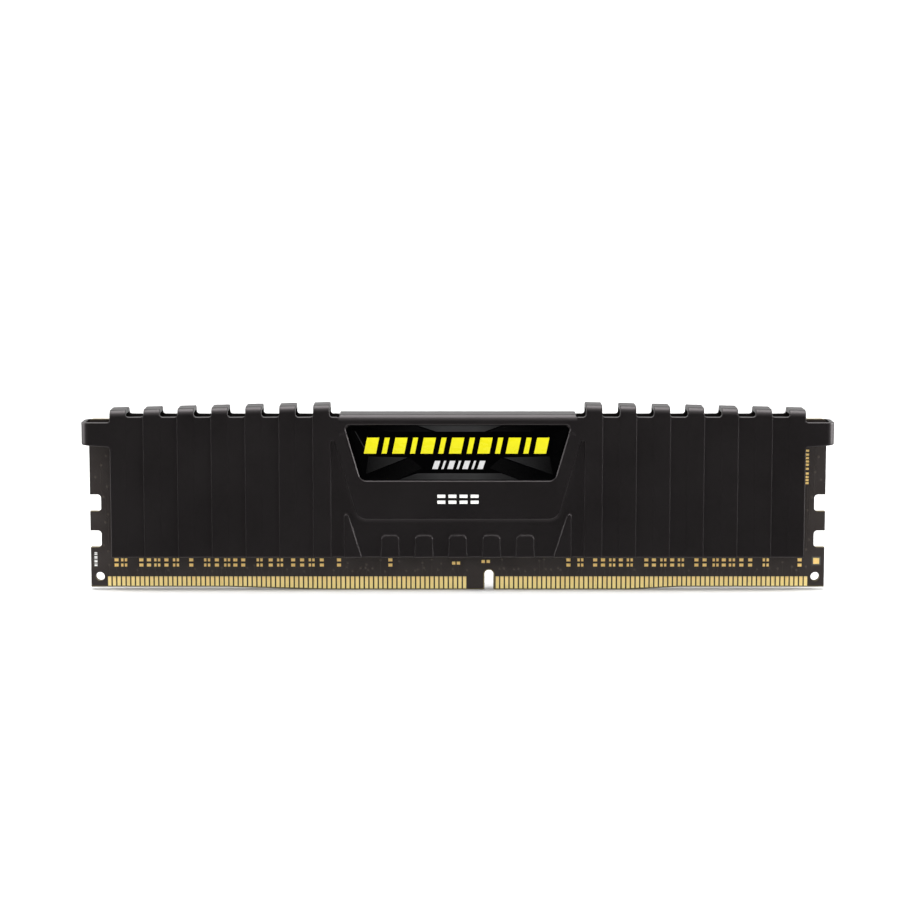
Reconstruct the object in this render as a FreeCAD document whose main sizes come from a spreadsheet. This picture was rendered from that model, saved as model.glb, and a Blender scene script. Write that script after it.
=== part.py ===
import FreeCAD, Part
import math
import os
from FreeCAD import Vector, Placement, Rotation

# Desktop memory module with a stamped two-piece aluminium heat spreader.
# Frame: X along the card, Z up from the contact edge, the badge faces -Y.
# Origin: middle of the card's length and thickness, at its lowest edge.

doc = FreeCAD.newDocument("memory_module")
sheet = doc.addObject("Spreadsheet::Sheet", "Dimensions")

ROWS = [
    # card
    ("board_length", 133.35, "card length"),
    ("board_height", 31.25, "card height"),
    ("board_thickness", 1.32, "laminate thickness under the plating"),
    ("board_corner", 0.8, "top corner radius"),
    ("edge_rise", 0.5, "how much higher the edge is at both ends"),
    ("slope_left_start", 24.5, "start of the left ramp from the middle"),
    ("slope_left_end", 42.0, "end of the left ramp"),
    ("slope_right_start", 31.0, "start of the right ramp"),
    ("slope_right_end", 40.4, "end of the right ramp"),
    ("key_centre", 5.7, "key slot centre"),
    ("key_width", 1.6, "key slot width"),
    ("key_top", 3.6, "top of the key slot"),
    ("key_mouth", 0.3, "corner radius at the mouth of the key slot"),
    ("edge_chamfer", 0.22, "chamfer along the contact edge"),
    ("notch_depth", 2.0, "latch notch depth"),
    ("notch_low", 7.8, "bottom of the lower latch notch"),
    ("notch_high", 14.4, "bottom of the upper latch notch"),
    ("notch_span", 3.1, "latch notch height"),
    ("notch_round", 0.65, "latch notch inner corner radius"),
    ("hole_offset", 65.05, "locating hole from the middle"),
    ("hole_height", 2.42, "locating hole centre height"),
    ("hole_diameter", 1.65, "locating hole diameter"),
    # contacts
    ("contact_width", 0.6, "edge contact width"),
    ("contact_pitch", 0.85, "edge contact pitch"),
    ("contact_first", 63.325, "outermost contact from the middle"),
    ("contact_lift", 0.24, "contact foot above the edge"),
    ("contact_top", 2.45, "top of the contacts"),
    ("contact_count_left", 77, "contacts left of the key, per side"),
    ("contact_count_right", 67, "contacts right of the key, per side"),
    ("contact_right_first", 7.225, "first contact right of the key"),
    ("plating", 0.04, "thickness of contacts and pads"),
    # heat spreader sheet
    ("spreader_half", 62.6, "half length of the ribbed sheet"),
    ("spreader_bottom", 6.36, "bottom edge of the sheet"),
    ("spreader_top", 31.9, "top edge between the fins"),
    ("spreader_inner", 2.2, "inner face from the card's mid-plane"),
    ("sheet_thickness", 0.8, "sheet thickness"),
    ("emboss", 0.4, "height of the raised panel over the field"),
    ("slat_step", 0.25, "step down at the outer edge of each slat"),
    ("rib_first", 23.05, "inner edge of the innermost rib"),
    ("rib_width", 2.95, "rib and fin width"),
    ("rib_pitch", 6.1, "rib and fin pitch"),
    ("rib_top", 31.0, "top of the slats under the hooks"),
    # centre panel
    ("panel_bottom", 13.5, "bottom edge of the raised panel"),
    ("panel_half_bottom", 17.95, "half width of the panel at its bottom"),
    ("panel_half_top", 22.14, "half width of the panel at its shoulder"),
    ("panel_shoulder", 27.8, "height of the panel shoulder"),
    ("panel_corner", 1.3, "panel bottom corner radius"),
    ("bar_half", 21.3, "half length of the rolled bar"),
    ("bar_top", 32.3, "top of the rolled bar"),
    ("bar_start", 30.6, "height where the bar starts to roll"),
    # short ribs under the panel
    ("arch_width", 3.0, "short rib width"),
    ("arch_top", 10.3, "short rib top"),
    ("arch_round", 0.7, "short rib corner radius"),
    ("wedge_outer", 20.5, "outer side of the wedge rib"),
    ("wedge_top", 14.1, "top of the wedge rib"),
    ("wedge_inner_top", 19.75, "inner side of the wedge at its top"),
    ("wedge_inner_bottom", 17.35, "inner side of the wedge at its bottom"),
    # fins
    ("fin_top_inner", 34.09, "fin top at the inner edge of the first fin"),
    ("fin_slope", 0.0295, "drop of the fin line per millimetre"),
    ("hook_start", 30.2, "foot of the hook profile"),
    ("hook_round", 1.7, "outer radius of the hook"),
    ("seam_gap", 0.1, "hook lip from the mid-plane"),
    ("gap_round", 0.5, "corner radius at the foot of a fin"),
    # end tabs
    ("tab_bottom", 26.45, "bottom of the end tab"),
    ("tab_top", 30.9, "top of the end tab"),
    ("tab_end", 67.85, "outer face of the wrapped tab"),
    ("tab_round", 1.2, "outer radius of the wrap"),
    ("tab_root", 60.2, "where the tab joins the outermost rib"),
    ("tab_rise", 0.35, "rise of the tab's bottom edge at its end"),
    # badge
    ("badge_bottom", 20.35, "badge bottom edge"),
    ("badge_top", 30.5, "badge top edge"),
    ("badge_half_top", 20.45, "badge half width at the top"),
    ("badge_half_bottom", 17.5, "badge half width at the bottom"),
    ("badge_corner", 1.0, "badge corner radius"),
    ("badge_recess", 0.3, "depth of the badge recess"),
    ("badge_thickness", 0.2, "badge thickness"),
    ("badge_play", 0.12, "gap round the badge"),
    # rear label
    ("sticker_width", 33.0, "rear label width"),
    ("sticker_height", 9.6, "rear label height"),
    ("sticker_thickness", 0.1, "rear label thickness"),
    # inside
    ("dram_width", 7.5, "memory package width"),
    ("dram_height", 11.0, "memory package height"),
    ("dram_body", 0.88, "memory package body thickness"),
    ("dram_first", 11.4, "first memory package from the middle"),
    ("dram_pitch", 14.2, "memory package pitch"),
    ("dram_level", 19.0, "height of the memory package centres"),
    ("ball_diameter", 0.45, "solder ball diameter"),
    ("ball_height", 0.26, "solder ball height"),
    ("ball_pitch", 0.8, "solder ball pitch"),
    ("rear_pad_bottom", 12.2, "rear thermal pad bottom"),
    ("rear_pad_span", 13.6, "rear thermal pad height"),
    ("rear_pad_half", 58.5, "rear thermal pad half length"),
    ("rear_pad_thickness", 0.4, "rear thermal pad thickness"),
    ("front_pad_bottom", 8.6, "front pad bottom"),
    ("front_pad_span", 19.6, "front pad height"),
    ("front_pad_half", 59.5, "front pad half length"),
    ("spd_width", 2.0, "configuration chip width"),
    ("spd_height", 3.0, "configuration chip height"),
    ("spd_thickness", 0.75, "configuration chip thickness"),
    ("spd_level", 21.0, "configuration chip centre height"),
    ("chip_length", 1.0, "capacitor length"),
    ("chip_width", 0.5, "capacitor width"),
    ("chip_height", 0.5, "capacitor height"),
    ("chip_cap", 0.22, "metal end length"),
    ("resistor_length", 1.0, "resistor length"),
    ("resistor_width", 0.5, "resistor width"),
    ("resistor_height", 0.32, "resistor height"),
    ("pad_row_upper", 5.5, "upper bare pad row"),
    ("pad_row_lower", 4.55, "lower bare pad row"),
    ("pad_height", 0.55, "bare pad height"),
    ("pad_single", 0.73, "single bare pad width"),
    ("pad_pair", 0.42, "paired bare pad width"),
    ("column_x", 63.3, "edge pad column from the middle"),
    ("fiducial_x", 65.2, "fiducial from the middle"),
    ("fiducial_z", 5.3, "fiducial height"),
    ("fiducial_size", 1.1, "fiducial size"),
    ("fiducial_border", 1.9, "fiducial window size"),
]
for n, (name, value, note) in enumerate(ROWS, start=1):
    sheet.set("A%d" % n, name.replace("_", " "))
    sheet.set("B%d" % n, repr(value))
    sheet.setAlias("B%d" % n, name)
    sheet.set("C%d" % n, note)
doc.recompute()


class Dim:
    """A length with its number and the sheet expression that gives it."""

    def __init__(self, value, text):
        self.value = float(value)
        self.text = text

    @staticmethod
    def of(other):
        if isinstance(other, Dim):
            return other
        return Dim(other, repr(float(other)))

    def __add__(self, other):
        other = Dim.of(other)
        return Dim(self.value + other.value, "(%s + %s)" % (self.text, other.text))

    def __radd__(self, other):
        return Dim.of(other) + self

    def __sub__(self, other):
        other = Dim.of(other)
        return Dim(self.value - other.value, "(%s - %s)" % (self.text, other.text))

    def __rsub__(self, other):
        return Dim.of(other) - self

    def __mul__(self, other):
        other = Dim.of(other)
        return Dim(self.value * other.value, "(%s * %s)" % (self.text, other.text))

    def __rmul__(self, other):
        return Dim.of(other) * self

    def __truediv__(self, other):
        other = Dim.of(other)
        return Dim(self.value / other.value, "(%s / %s)" % (self.text, other.text))

    def __neg__(self):
        return Dim(-self.value, "(0 - %s)" % self.text)


D = {}
for name, value, note in ROWS:
    D[name] = Dim(value, "Dimensions.%s" % name)


def val(name):
    return D[name].value


# ---------------------------------------------------------------- sketching
def new_body(label):
    body = doc.addObject("PartDesign::Body", label)
    body.Label = label
    return body


def origin_plane(body, role):
    for feature in body.Origin.OriginFeatures:
        if feature.Role == role:
            return feature
    raise ValueError(role)


def new_sketch(body, name, role, offset=None):
    """Sketch on an origin plane, moved along its normal by a sheet length."""
    sk = body.newObject("Sketcher::SketchObject", name)
    sk.AttachmentSupport = [(origin_plane(body, role), "")]
    sk.MapMode = "FlatFace"
    if offset is not None:
        offset = Dim.of(offset)
        sk.AttachmentOffset = Placement(Vector(0, 0, offset.value), Rotation())
        sk.setExpression("AttachmentOffset.Base.z", offset.text)
    return sk


def bind(sk, cons, exprs, kind, geo, pos, dim):
    """Constraint that fixes one coordinate of a sketch point to the sheet."""
    import Sketcher
    dim = Dim.of(dim)
    if abs(dim.value) < 1e-9:
        axis = -2 if kind == "DistanceX" else -1
        cons.append(Sketcher.Constraint("PointOnObject", geo, pos, axis))
        exprs.append(None)
    else:
        cons.append(Sketcher.Constraint(kind, -1, 1, geo, pos, dim.value))
        exprs.append(dim.text)


def add_loop(sk, points):
    """Closed outline. points: (x, y) or (x, y, corner radius), in order."""
    import Sketcher
    pts = [(Dim.of(p[0]), Dim.of(p[1]), Dim.of(p[2]) if len(p) > 2 else None) for p in points]
    n = len(pts)
    P = [Vector(p[0].value, p[1].value, 0) for p in pts]
    start, end, arc = [None] * n, [None] * n, [None] * n
    for i in range(n):
        a, b, c = P[i - 1], P[i], P[(i + 1) % n]
        if pts[i][2] is None:
            start[i] = end[i] = b
            continue
        u = (a - b).normalize()
        v = (c - b).normalize()
        half = u.getAngle(v) / 2
        r = pts[i][2].value
        run = r / math.tan(half)
        centre = b + ((u + v).normalize()) * (r / math.sin(half))
        end[i] = b + u * run          # where the side that arrives stops
        start[i] = b + v * run        # where the side that leaves starts
        ccw = (b - a).cross(c - b).z > 0
        first, last = (end[i], start[i]) if ccw else (start[i], end[i])
        a0 = math.atan2(first.y - centre.y, first.x - centre.x)
        a1 = math.atan2(last.y - centre.y, last.x - centre.x)
        if a1 < a0:
            a1 += 2 * math.pi
        arc[i] = (Part.ArcOfCircle(Part.Circle(centre, Vector(0, 0, 1), r), a0, a1), ccw)
    lines = []
    for i in range(n):
        j = (i + 1) % n
        lines.append(sk.addGeometry(Part.LineSegment(start[i], end[j]), False))
    cons, exprs = [], []
    for i in range(n):
        before, after = lines[i - 1], lines[i]
        if arc[i] is None:
            cons.append(Sketcher.Constraint("Coincident", before, 2, after, 1))
            exprs.append(None)
            bind(sk, cons, exprs, "DistanceX", after, 1, pts[i][0])
            bind(sk, cons, exprs, "DistanceY", after, 1, pts[i][1])
            continue
        geo = sk.addGeometry(arc[i][0], False)
        corner = sk.addGeometry(Part.Point(P[i]), True)
        ccw = arc[i][1]
        cons.append(Sketcher.Constraint("Tangent", before, 2, geo, 1 if ccw else 2))
        cons.append(Sketcher.Constraint("Tangent", after, 1, geo, 2 if ccw else 1))
        cons.append(Sketcher.Constraint("PointOnObject", corner, 1, before))
        cons.append(Sketcher.Constraint("PointOnObject", corner, 1, after))
        exprs += [None] * 4
        cons.append(Sketcher.Constraint("Radius", geo, pts[i][2].value))
        exprs.append(pts[i][2].text)
        bind(sk, cons, exprs, "DistanceX", corner, 1, pts[i][0])
        bind(sk, cons, exprs, "DistanceY", corner, 1, pts[i][1])
    first = sk.ConstraintCount
    sk.addConstraint(cons)
    for k, text in enumerate(exprs):
        if text is not None:
            sk.setExpression("Constraints[%d]" % (first + k), text)


def add_circle(sk, x, y, diameter):
    import Sketcher
    x, y, diameter = Dim.of(x), Dim.of(y), Dim.of(diameter)
    geo = sk.addGeometry(Part.Circle(Vector(x.value, y.value, 0), Vector(0, 0, 1), diameter.value / 2), False)
    cons, exprs = [], []
    cons.append(Sketcher.Constraint("Diameter", geo, diameter.value))
    exprs.append(diameter.text)
    bind(sk, cons, exprs, "DistanceX", geo, 3, x)
    bind(sk, cons, exprs, "DistanceY", geo, 3, y)
    first = sk.ConstraintCount
    sk.addConstraint(cons)
    for k, text in enumerate(exprs):
        if text is not None:
            sk.setExpression("Constraints[%d]" % (first + k), text)


def pad(body, name, sk, length, midplane=False, reverse=False):
    f = body.newObject("PartDesign::Pad", name)
    f.Profile = sk
    length = Dim.of(length)
    f.Length = length.value
    f.setExpression("Length", length.text)
    if midplane:
        f.Midplane = True
    if reverse:
        f.Reversed = True
    doc.recompute()
    return f


def pocket(body, name, sk, length, midplane=False, reverse=False):
    before = body.Shape.Volume
    f = body.newObject("PartDesign::Pocket", name)
    f.Profile = sk
    length = Dim.of(length)
    f.Length = length.value
    f.setExpression("Length", length.text)
    if midplane:
        f.Midplane = True
    if reverse:
        f.Reversed = True
    doc.recompute()
    if body.Shape.Volume > before - 1e-6:
        raise RuntimeError("%s cut nothing" % name)
    return f


def rect(x0, x1, y0, y1):
    return [(x0, y0), (x1, y0), (x1, y1), (x0, y1)]


pieces = []

# -------------------------------------------------------------------- card
board = new_body("pcb")
half = D["board_length"] / 2
zero = Dim(0.0, "0")
sk = new_sketch(board, "board_outline", "XZ_Plane")
notches_right = []
nd = half - D["notch_depth"]
right = []
for low in (D["notch_low"], D["notch_high"]):
    right += [(half, low), (nd, low, D["notch_round"]),
              (nd, low + D["notch_span"], D["notch_round"]), (half, low + D["notch_span"])]
left = [(-x[0], x[1]) + tuple(x[2:]) for x in reversed(right)]
key_l = D["key_centre"] - D["key_width"] / 2
key_r = D["key_centre"] + D["key_width"] / 2
key_round = D["key_width"] / 2 * 0.96
outline = [(-half, D["edge_rise"]), (-D["slope_left_end"], D["edge_rise"]),
           (-D["slope_left_start"], zero),
           (key_l, zero, D["key_mouth"]), (key_l, D["key_top"], key_round),
           (key_r, D["key_top"], key_round), (key_r, zero, D["key_mouth"]),
           (D["slope_right_start"], zero), (D["slope_right_end"], D["edge_rise"]), (half, D["edge_rise"])]
outline += right
outline += [(half, D["board_height"], D["board_corner"]), (-half, D["board_height"], D["board_corner"])]
outline += left
add_loop(sk, outline)
pad(board, "laminate", sk, D["board_thickness"], midplane=True)
sk = new_sketch(board, "hole_circles", "XZ_Plane")
add_circle(sk, -D["hole_offset"], D["hole_height"], D["hole_diameter"])
add_circle(sk, D["hole_offset"], D["hole_height"], D["hole_diameter"])
pocket(board, "locating_holes", sk, D["board_thickness"] * 2, midplane=True)
# chamfer on both faces along the contact edge
tip = board.Tip
names = []
for i, e in enumerate(tip.Shape.Edges, start=1):
    if len(e.Vertexes) != 2 or e.Curve.TypeId != "Part::GeomLine":
        continue
    a, b = e.Vertexes[0].Point, e.Vertexes[1].Point
    low = max(a.z, b.z) < val("edge_rise") + 0.01
    if low and abs(a.x - b.x) > 1.0 and abs(a.y - b.y) < 1e-6:
        names.append("Edge%d" % i)
before = board.Shape.Volume
cham = board.newObject("PartDesign::Chamfer", "contact_edge_chamfer")
cham.Base = (tip, names)
cham.Size = val("edge_chamfer")
cham.setExpression("Size", "Dimensions.edge_chamfer")
doc.recompute()
if board.Shape.Volume > before - 0.1:
    raise RuntimeError("the contact edge chamfer cut nothing")
pieces.append(board)


# ---------------------------------------------------------------- contacts
def edge_height(x):
    """Height of the card's lower edge at x."""
    rise = val("edge_rise")
    if x < 0:
        run = (-x - val("slope_left_start")) / (val("slope_left_end") - val("slope_left_start"))
    else:
        run = (x - val("slope_right_start")) / (val("slope_right_end") - val("slope_right_start"))
    return rise * min(max(run, 0.0), 1.0)


def contact_bank(label, first, count, side):
    """A row of edge contacts on one face. Each foot follows the card's edge, so no two ramps repeat."""
    w, t, top = val("contact_width"), val("plating"), val("contact_top")
    face = val("board_thickness") / 2
    solids = []
    for n in range(int(val(count))):
        x = first + n * val("contact_pitch")
        foot = max(edge_height(x - w / 2), edge_height(x + w / 2)) + val("contact_lift")
        y = face if side > 0 else -face - t
        solids.append(Part.makeBox(w, t, top - foot, Vector(x - w / 2, y, foot)))
    o = doc.addObject("Part::Feature", label)
    o.Shape = Part.makeCompound(solids)
    o.Label = label
    o.Placement = Placement()
    pieces.append(o)


contact_bank("contacts_front_left", -val("contact_first"), "contact_count_left", -1)
contact_bank("contacts_front_right", val("contact_right_first"), "contact_count_right", -1)
contact_bank("contacts_rear_left", -val("contact_first"), "contact_count_left", 1)
contact_bank("contacts_rear_right", val("contact_right_first"), "contact_count_right", 1)

# ----------------------------------------------------------- heat spreader
field = D["spreader_inner"] + D["sheet_thickness"]     # outer face of the field
raised = field + D["emboss"]                           # outer face of ribs and panel


def spreader(label, rear):
    body = new_body(label)
    top, bottom, edge = D["spreader_top"], D["spreader_bottom"], D["spreader_half"]
    bh, bs = D["bar_half"], D["bar_start"]
    hook_inner = raised - D["sheet_thickness"]
    lip = D["seam_gap"]

    # hooked flange of the fins: one bent strip a side that follows the sloping fin line
    def hook(name, x, top_z, foot):
        skh = new_sketch(body, name, "YZ_Plane", x)
        add_loop(skh, [(-raised, foot), (-hook_inner, foot),
                       (-hook_inner, top_z - D["sheet_thickness"], D["hook_round"] - D["sheet_thickness"]),
                       (-lip, top_z - D["sheet_thickness"]), (-lip, top_z), (-raised, top_z, D["hook_round"])])
        return skh

    run = D["rib_pitch"] * 6 + D["rib_width"]
    for side in (1, -1):
        x = D["rib_first"] * side
        skh = hook(label + ("_hook_right" if side > 0 else "_hook_left"), x, D["fin_top_inner"], D["hook_start"])
        f = body.newObject("PartDesign::Pad", label + ("_flange_right" if side > 0 else "_flange_left"))
        f.Profile = skh
        f.UseCustomVector = True
        f.Direction = Vector(side, 0, -val("fin_slope"))
        f.AlongSketchNormal = True
        f.Length = run.value
        f.setExpression("Length", run.text)
        doc.recompute()

    # rolled bar over the panel
    skh = hook(label + "_bar_profile", zero, D["bar_top"], D["bar_start"] - 0.6)
    pad(body, label + "_bar", skh, D["bar_half"] * 2, midplane=True)

    # the flange is notched into separate fins
    tall = D["fin_top_inner"] + 1
    sk = new_sketch(body, label + "_relief_outlines", "XZ_Plane")
    for k in range(6):
        x0 = D["rib_first"] + D["rib_width"] + D["rib_pitch"] * k
        x1 = D["rib_first"] + D["rib_pitch"] * (k + 1)
        add_loop(sk, rect(x0, x1, 28.0, tall))
        add_loop(sk, rect(-x1, -x0, 28.0, tall))
    pocket(body, label + "_relief", sk, raised * 2 + 2, midplane=True)

    # field of the sheet; it stops lower under the rolled bar
    sk = new_sketch(body, label + "_field", "XZ_Plane", D["spreader_inner"])
    add_loop(sk, [(-edge, bottom), (edge, bottom), (edge, top), (bh, top), (bh, bs), (-bh, bs), (-bh, top), (-edge, top)])
    pad(body, label + "_sheet", sk, D["sheet_thickness"])

    # slats: flat under each fin, then a step down and a gentle slope up to the next fin
    low = raised - D["slat_step"]
    back = D["spreader_inner"]
    for side in (1, -1):
        sk = new_sketch(body, label + ("_slats_right" if side > 0 else "_slats_left"), "XY_Plane", bottom)
        pts = [(D["rib_first"], -raised)]
        for k in range(7):
            x1 = D["rib_first"] + D["rib_pitch"] * k + D["rib_width"]
            pts.append((x1, -raised))
            if k < 6:
                pts.append((x1 + 0.02, -low))
                pts.append((D["rib_first"] + D["rib_pitch"] * (k + 1), -raised))
        pts += [(edge, -back), (D["rib_first"], -back)]
        if side < 0:
            pts = [(-p[0], p[1]) for p in reversed(pts)]
        add_loop(sk, pts)
        pad(body, label + ("_slat_right" if side > 0 else "_slat_left"), sk, D["rib_top"] - bottom)

        # between the fins the slats reach up to the top edge
        sk = new_sketch(body, label + ("_web_right" if side > 0 else "_web_left"), "XY_Plane", D["rib_top"])
        for k in range(6):
            x0 = D["rib_first"] + D["rib_width"] + D["rib_pitch"] * k
            x1 = D["rib_first"] + D["rib_pitch"] * (k + 1)
            web = [(x0, -low), (x1, -raised), (x1, -back), (x0, -back)]
            if side < 0:
                web = [(-p[0], p[1]) for p in reversed(web)]
            add_loop(sk, web)
        pad(body, label + ("_webs_right" if side > 0 else "_webs_left"), sk, top - D["rib_top"] + D["gap_round"])

    # raised centre panel with shoulders that run into the innermost slats
    sk = new_sketch(body, label + "_panel_outline", "XZ_Plane", D["spreader_inner"])
    pb, ph, pt = D["panel_half_bottom"], D["panel_bottom"], D["panel_half_top"]
    reach = D["rib_first"] + 0.3
    add_loop(sk, [(-pb, ph, D["panel_corner"]), (pb, ph, D["panel_corner"]),
                  (pt, D["panel_shoulder"], 0.3), (reach, D["panel_shoulder"]), (reach, D["rib_top"]),
                  (D["rib_first"], D["rib_top"]), (D["rib_first"], top),
                  (bh, top), (bh, bs), (-bh, bs), (-bh, top),
                  (-D["rib_first"], top), (-D["rib_first"], D["rib_top"]), (-reach, D["rib_top"]),
                  (-reach, D["panel_shoulder"]), (-pt, D["panel_shoulder"], 0.3)])
    pad(body, label + "_panel", sk, D["sheet_thickness"] + D["emboss"])

    # short ribs and wedge ribs under the panel
    sk = new_sketch(body, label + "_short_outlines", "XZ_Plane", D["spreader_inner"])
    hw = D["arch_width"] / 2
    for k in range(-2, 3):
        c = D["rib_pitch"] * k
        add_loop(sk, [(c - hw - 0.15, bottom), (c + hw + 0.15, bottom),
                      (c + hw, D["arch_top"], D["arch_round"]), (c - hw, D["arch_top"], D["arch_round"])])
    wo, wt = D["wedge_outer"], D["wedge_top"]
    wit, wib = D["wedge_inner_top"], D["wedge_inner_bottom"]
    add_loop(sk, [(wib, bottom), (wo, bottom), (wo, wt, 0.3), (wit, wt, 0.28)])
    add_loop(sk, [(-wo, bottom), (-wib, bottom), (-wit, wt, 0.28), (-wo, wt, 0.3)])
    pad(body, label + "_short_ribs", sk, D["sheet_thickness"] + D["emboss"])

    # rounded feet between the fins
    sk = new_sketch(body, label + "_gap_outlines", "XZ_Plane")
    gr = D["gap_round"]
    for k in range(6):
        x0 = D["rib_first"] + D["rib_width"] + D["rib_pitch"] * k
        x1 = D["rib_first"] + D["rib_pitch"] * (k + 1)
        add_loop(sk, [(x0, top, gr), (x1, top, gr), (x1, tall), (x0, tall)])
        add_loop(sk, [(-x1, top, gr), (-x0, top, gr), (-x0, tall), (-x1, tall)])
    pocket(body, label + "_gaps", sk, raised * 2 + 2, midplane=True)

    # end tabs that wrap round the card's ends
    sk = new_sketch(body, label + "_tab_profiles", "XY_Plane", D["tab_bottom"])
    te, th, tr = D["tab_end"], D["sheet_thickness"], D["tab_round"]
    root, lip = D["tab_root"], D["seam_gap"]
    inner = raised - th
    add_loop(sk, [(root, -raised), (te, -raised, tr), (te, -lip), (te - th, -lip), (te - th, -inner, tr - th), (root, -inner)])
    add_loop(sk, [(-root, -raised), (-root, -inner), (-te + th, -inner, tr - th), (-te + th, -lip), (-te, -lip), (-te, -raised, tr)])
    pad(body, label + "_tabs", sk, D["tab_top"] - D["tab_bottom"])
    sk = new_sketch(body, label + "_tab_slopes", "XZ_Plane")
    tb, rise = D["tab_bottom"], D["tab_rise"]
    add_loop(sk, [(edge, tb), (edge + 0.2, tb - 0.5), (te + 1, tb - 0.5), (te + 1, tb + rise)])
    add_loop(sk, [(-edge, tb), (-te - 1, tb + rise), (-te - 1, tb - 0.5), (-edge - 0.2, tb - 0.5)])
    pocket(body, label + "_tab_cut", sk, raised * 2 + 2, midplane=True)

    # inner side of the short ribs: the sheet keeps its thickness
    sk = new_sketch(body, label + "_inner_outlines", "XZ_Plane", D["spreader_inner"] - 0.3)
    m = 0.35
    for k in range(-2, 3):
        c = D["rib_pitch"] * k
        add_loop(sk, rect(c - hw + m, c + hw - m, bottom - 1, D["arch_top"] - m))
    pocket(body, label + "_inner", sk, D["emboss"] + 0.3, reverse=True)

    # shallow recess for the badge or label
    sk = new_sketch(body, label + "_recess_outline", "XZ_Plane", raised + 0.2)
    bt, bb = D["badge_top"], D["badge_bottom"]
    wtp, wbt, bc = D["badge_half_top"], D["badge_half_bottom"], D["badge_corner"]
    add_loop(sk, [(-wbt, bb, bc), (wbt, bb, bc), (wtp, bt, bc), (-wtp, bt, bc)])
    pocket(body, label + "_recess", sk, D["badge_recess"] + 0.2)

    if rear:
        body.Placement = Placement(Vector(0, 0, 0), Rotation(Vector(0, 0, 1), 180))
    doc.recompute()
    pieces.append(body)
    return body


spreader("heatspreader_front", False)
spreader("heatspreader_rear", True)

# ----------------------------------------------------------- badge, label
badge = new_body("badge_front")
sk = new_sketch(badge, "badge_outline", "XZ_Plane", raised - D["badge_recess"])
play = D["badge_play"]
add_loop(sk, [(-D["badge_half_bottom"] + play, D["badge_bottom"] + play, D["badge_corner"]),
              (D["badge_half_bottom"] - play, D["badge_bottom"] + play, D["badge_corner"]),
              (D["badge_half_top"] - play, D["badge_top"] - play, D["badge_corner"]),
              (-D["badge_half_top"] + play, D["badge_top"] - play, D["badge_corner"])])
pad(badge, "badge_plate", sk, D["badge_thickness"])
pieces.append(badge)

sticker = new_body("label_rear")
sk = new_sketch(sticker, "label_outline", "XZ_Plane", raised - D["badge_recess"])
mid = (D["badge_top"] + D["badge_bottom"]) / 2
sw, sh = D["sticker_width"] / 2, D["sticker_height"] / 2
add_loop(sk, [(-sw, mid - sh, 0.6), (sw, mid - sh, 0.6), (sw, mid + sh, 0.6), (-sw, mid + sh, 0.6)])
pad(sticker, "label_film", sk, D["sticker_thickness"])
sticker.Placement = Placement(Vector(0, 0, 0), Rotation(Vector(0, 0, 1), 180))
pieces.append(sticker)

# ------------------------------------------------------------- inner pads
filler = new_body("thermal_pad_front")
face = D["board_thickness"] / 2
sk = new_sketch(filler, "front_pad_outline", "XZ_Plane", face)
fh, fb, fs = D["front_pad_half"], D["front_pad_bottom"], D["front_pad_span"]
add_loop(sk, [(-fh, fb, 1.0), (fh, fb, 1.0), (fh, fb + fs, 1.0), (-fh, fb + fs, 1.0)])
pad(filler, "front_pad_block", sk, D["spreader_inner"] - face)
pieces.append(filler)

gap_pad = new_body("thermal_pad_rear")
sk = new_sketch(gap_pad, "rear_pad_outline", "XZ_Plane", D["spreader_inner"] - D["rear_pad_thickness"])
rh, rb, rs = D["rear_pad_half"], D["rear_pad_bottom"], D["rear_pad_span"]
add_loop(sk, [(-rh, rb, 1.0), (rh, rb, 1.0), (rh, rb + rs, 1.0), (-rh, rb + rs, 1.0)])
pad(gap_pad, "rear_pad_block", sk, D["rear_pad_thickness"])
gap_pad.Placement = Placement(Vector(0, 0, 0), Rotation(Vector(0, 0, 1), 180))
pieces.append(gap_pad)

# --------------------------------------------------------- memory packages
dram_x = []
for k in (3, 2, 1, 0):
    dram_x.append(-(D["dram_first"] + D["dram_pitch"] * k))
for k in (0, 1, 2, 3):
    dram_x.append(D["dram_first"] + D["dram_pitch"] * k)
for n, x in enumerate(dram_x, start=1):
    body = new_body("dram_package_%d" % n)
    sk = new_sketch(body, "dram_%d_outline" % n, "XZ_Plane")
    add_loop(sk, rect(-D["dram_width"] / 2, D["dram_width"] / 2, -D["dram_height"] / 2, D["dram_height"] / 2))
    base = pad(body, "dram_%d_body" % n, sk, D["dram_body"], reverse=True)
    body.Placement = Placement(Vector(x.value, 0, 0), Rotation())
    body.setExpression("Placement.Base.x", x.text)
    lift = D["board_thickness"] / 2 + D["ball_height"]
    body.setExpression("Placement.Base.y", lift.text)
    body.setExpression("Placement.Base.z", "Dimensions.dram_level")
    pieces.append(body)

# solder balls: two banks of three columns under each package
balls = []
for x in dram_x:
    for col in (-4, -3, -2, 2, 3, 4):
        for row in range(13):
            cx = x.value + col * val("ball_pitch")
            cz = val("dram_level") + (row - 6) * val("ball_pitch")
            balls.append(Part.makeCylinder(val("ball_diameter") / 2, val("ball_height"),
                                           Vector(cx, val("board_thickness") / 2, cz), Vector(0, 1, 0)))
obj = doc.addObject("Part::Feature", "dram_solder_balls")
obj.Shape = Part.makeCompound(balls)
obj.Label = "dram_solder_balls"
obj.Placement = Placement()
pieces.append(obj)

# configuration chip between the two groups of packages
chip = new_body("spd_eeprom")
sk = new_sketch(chip, "spd_outline", "XZ_Plane")
add_loop(sk, rect(-D["spd_width"] / 2, D["spd_width"] / 2, -D["spd_height"] / 2, D["spd_height"] / 2))
pad(chip, "spd_block", sk, D["spd_thickness"], reverse=True)
chip.setExpression("Placement.Base.y", (D["board_thickness"] / 2).text)
chip.setExpression("Placement.Base.z", "Dimensions.spd_level")
pieces.append(chip)


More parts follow.
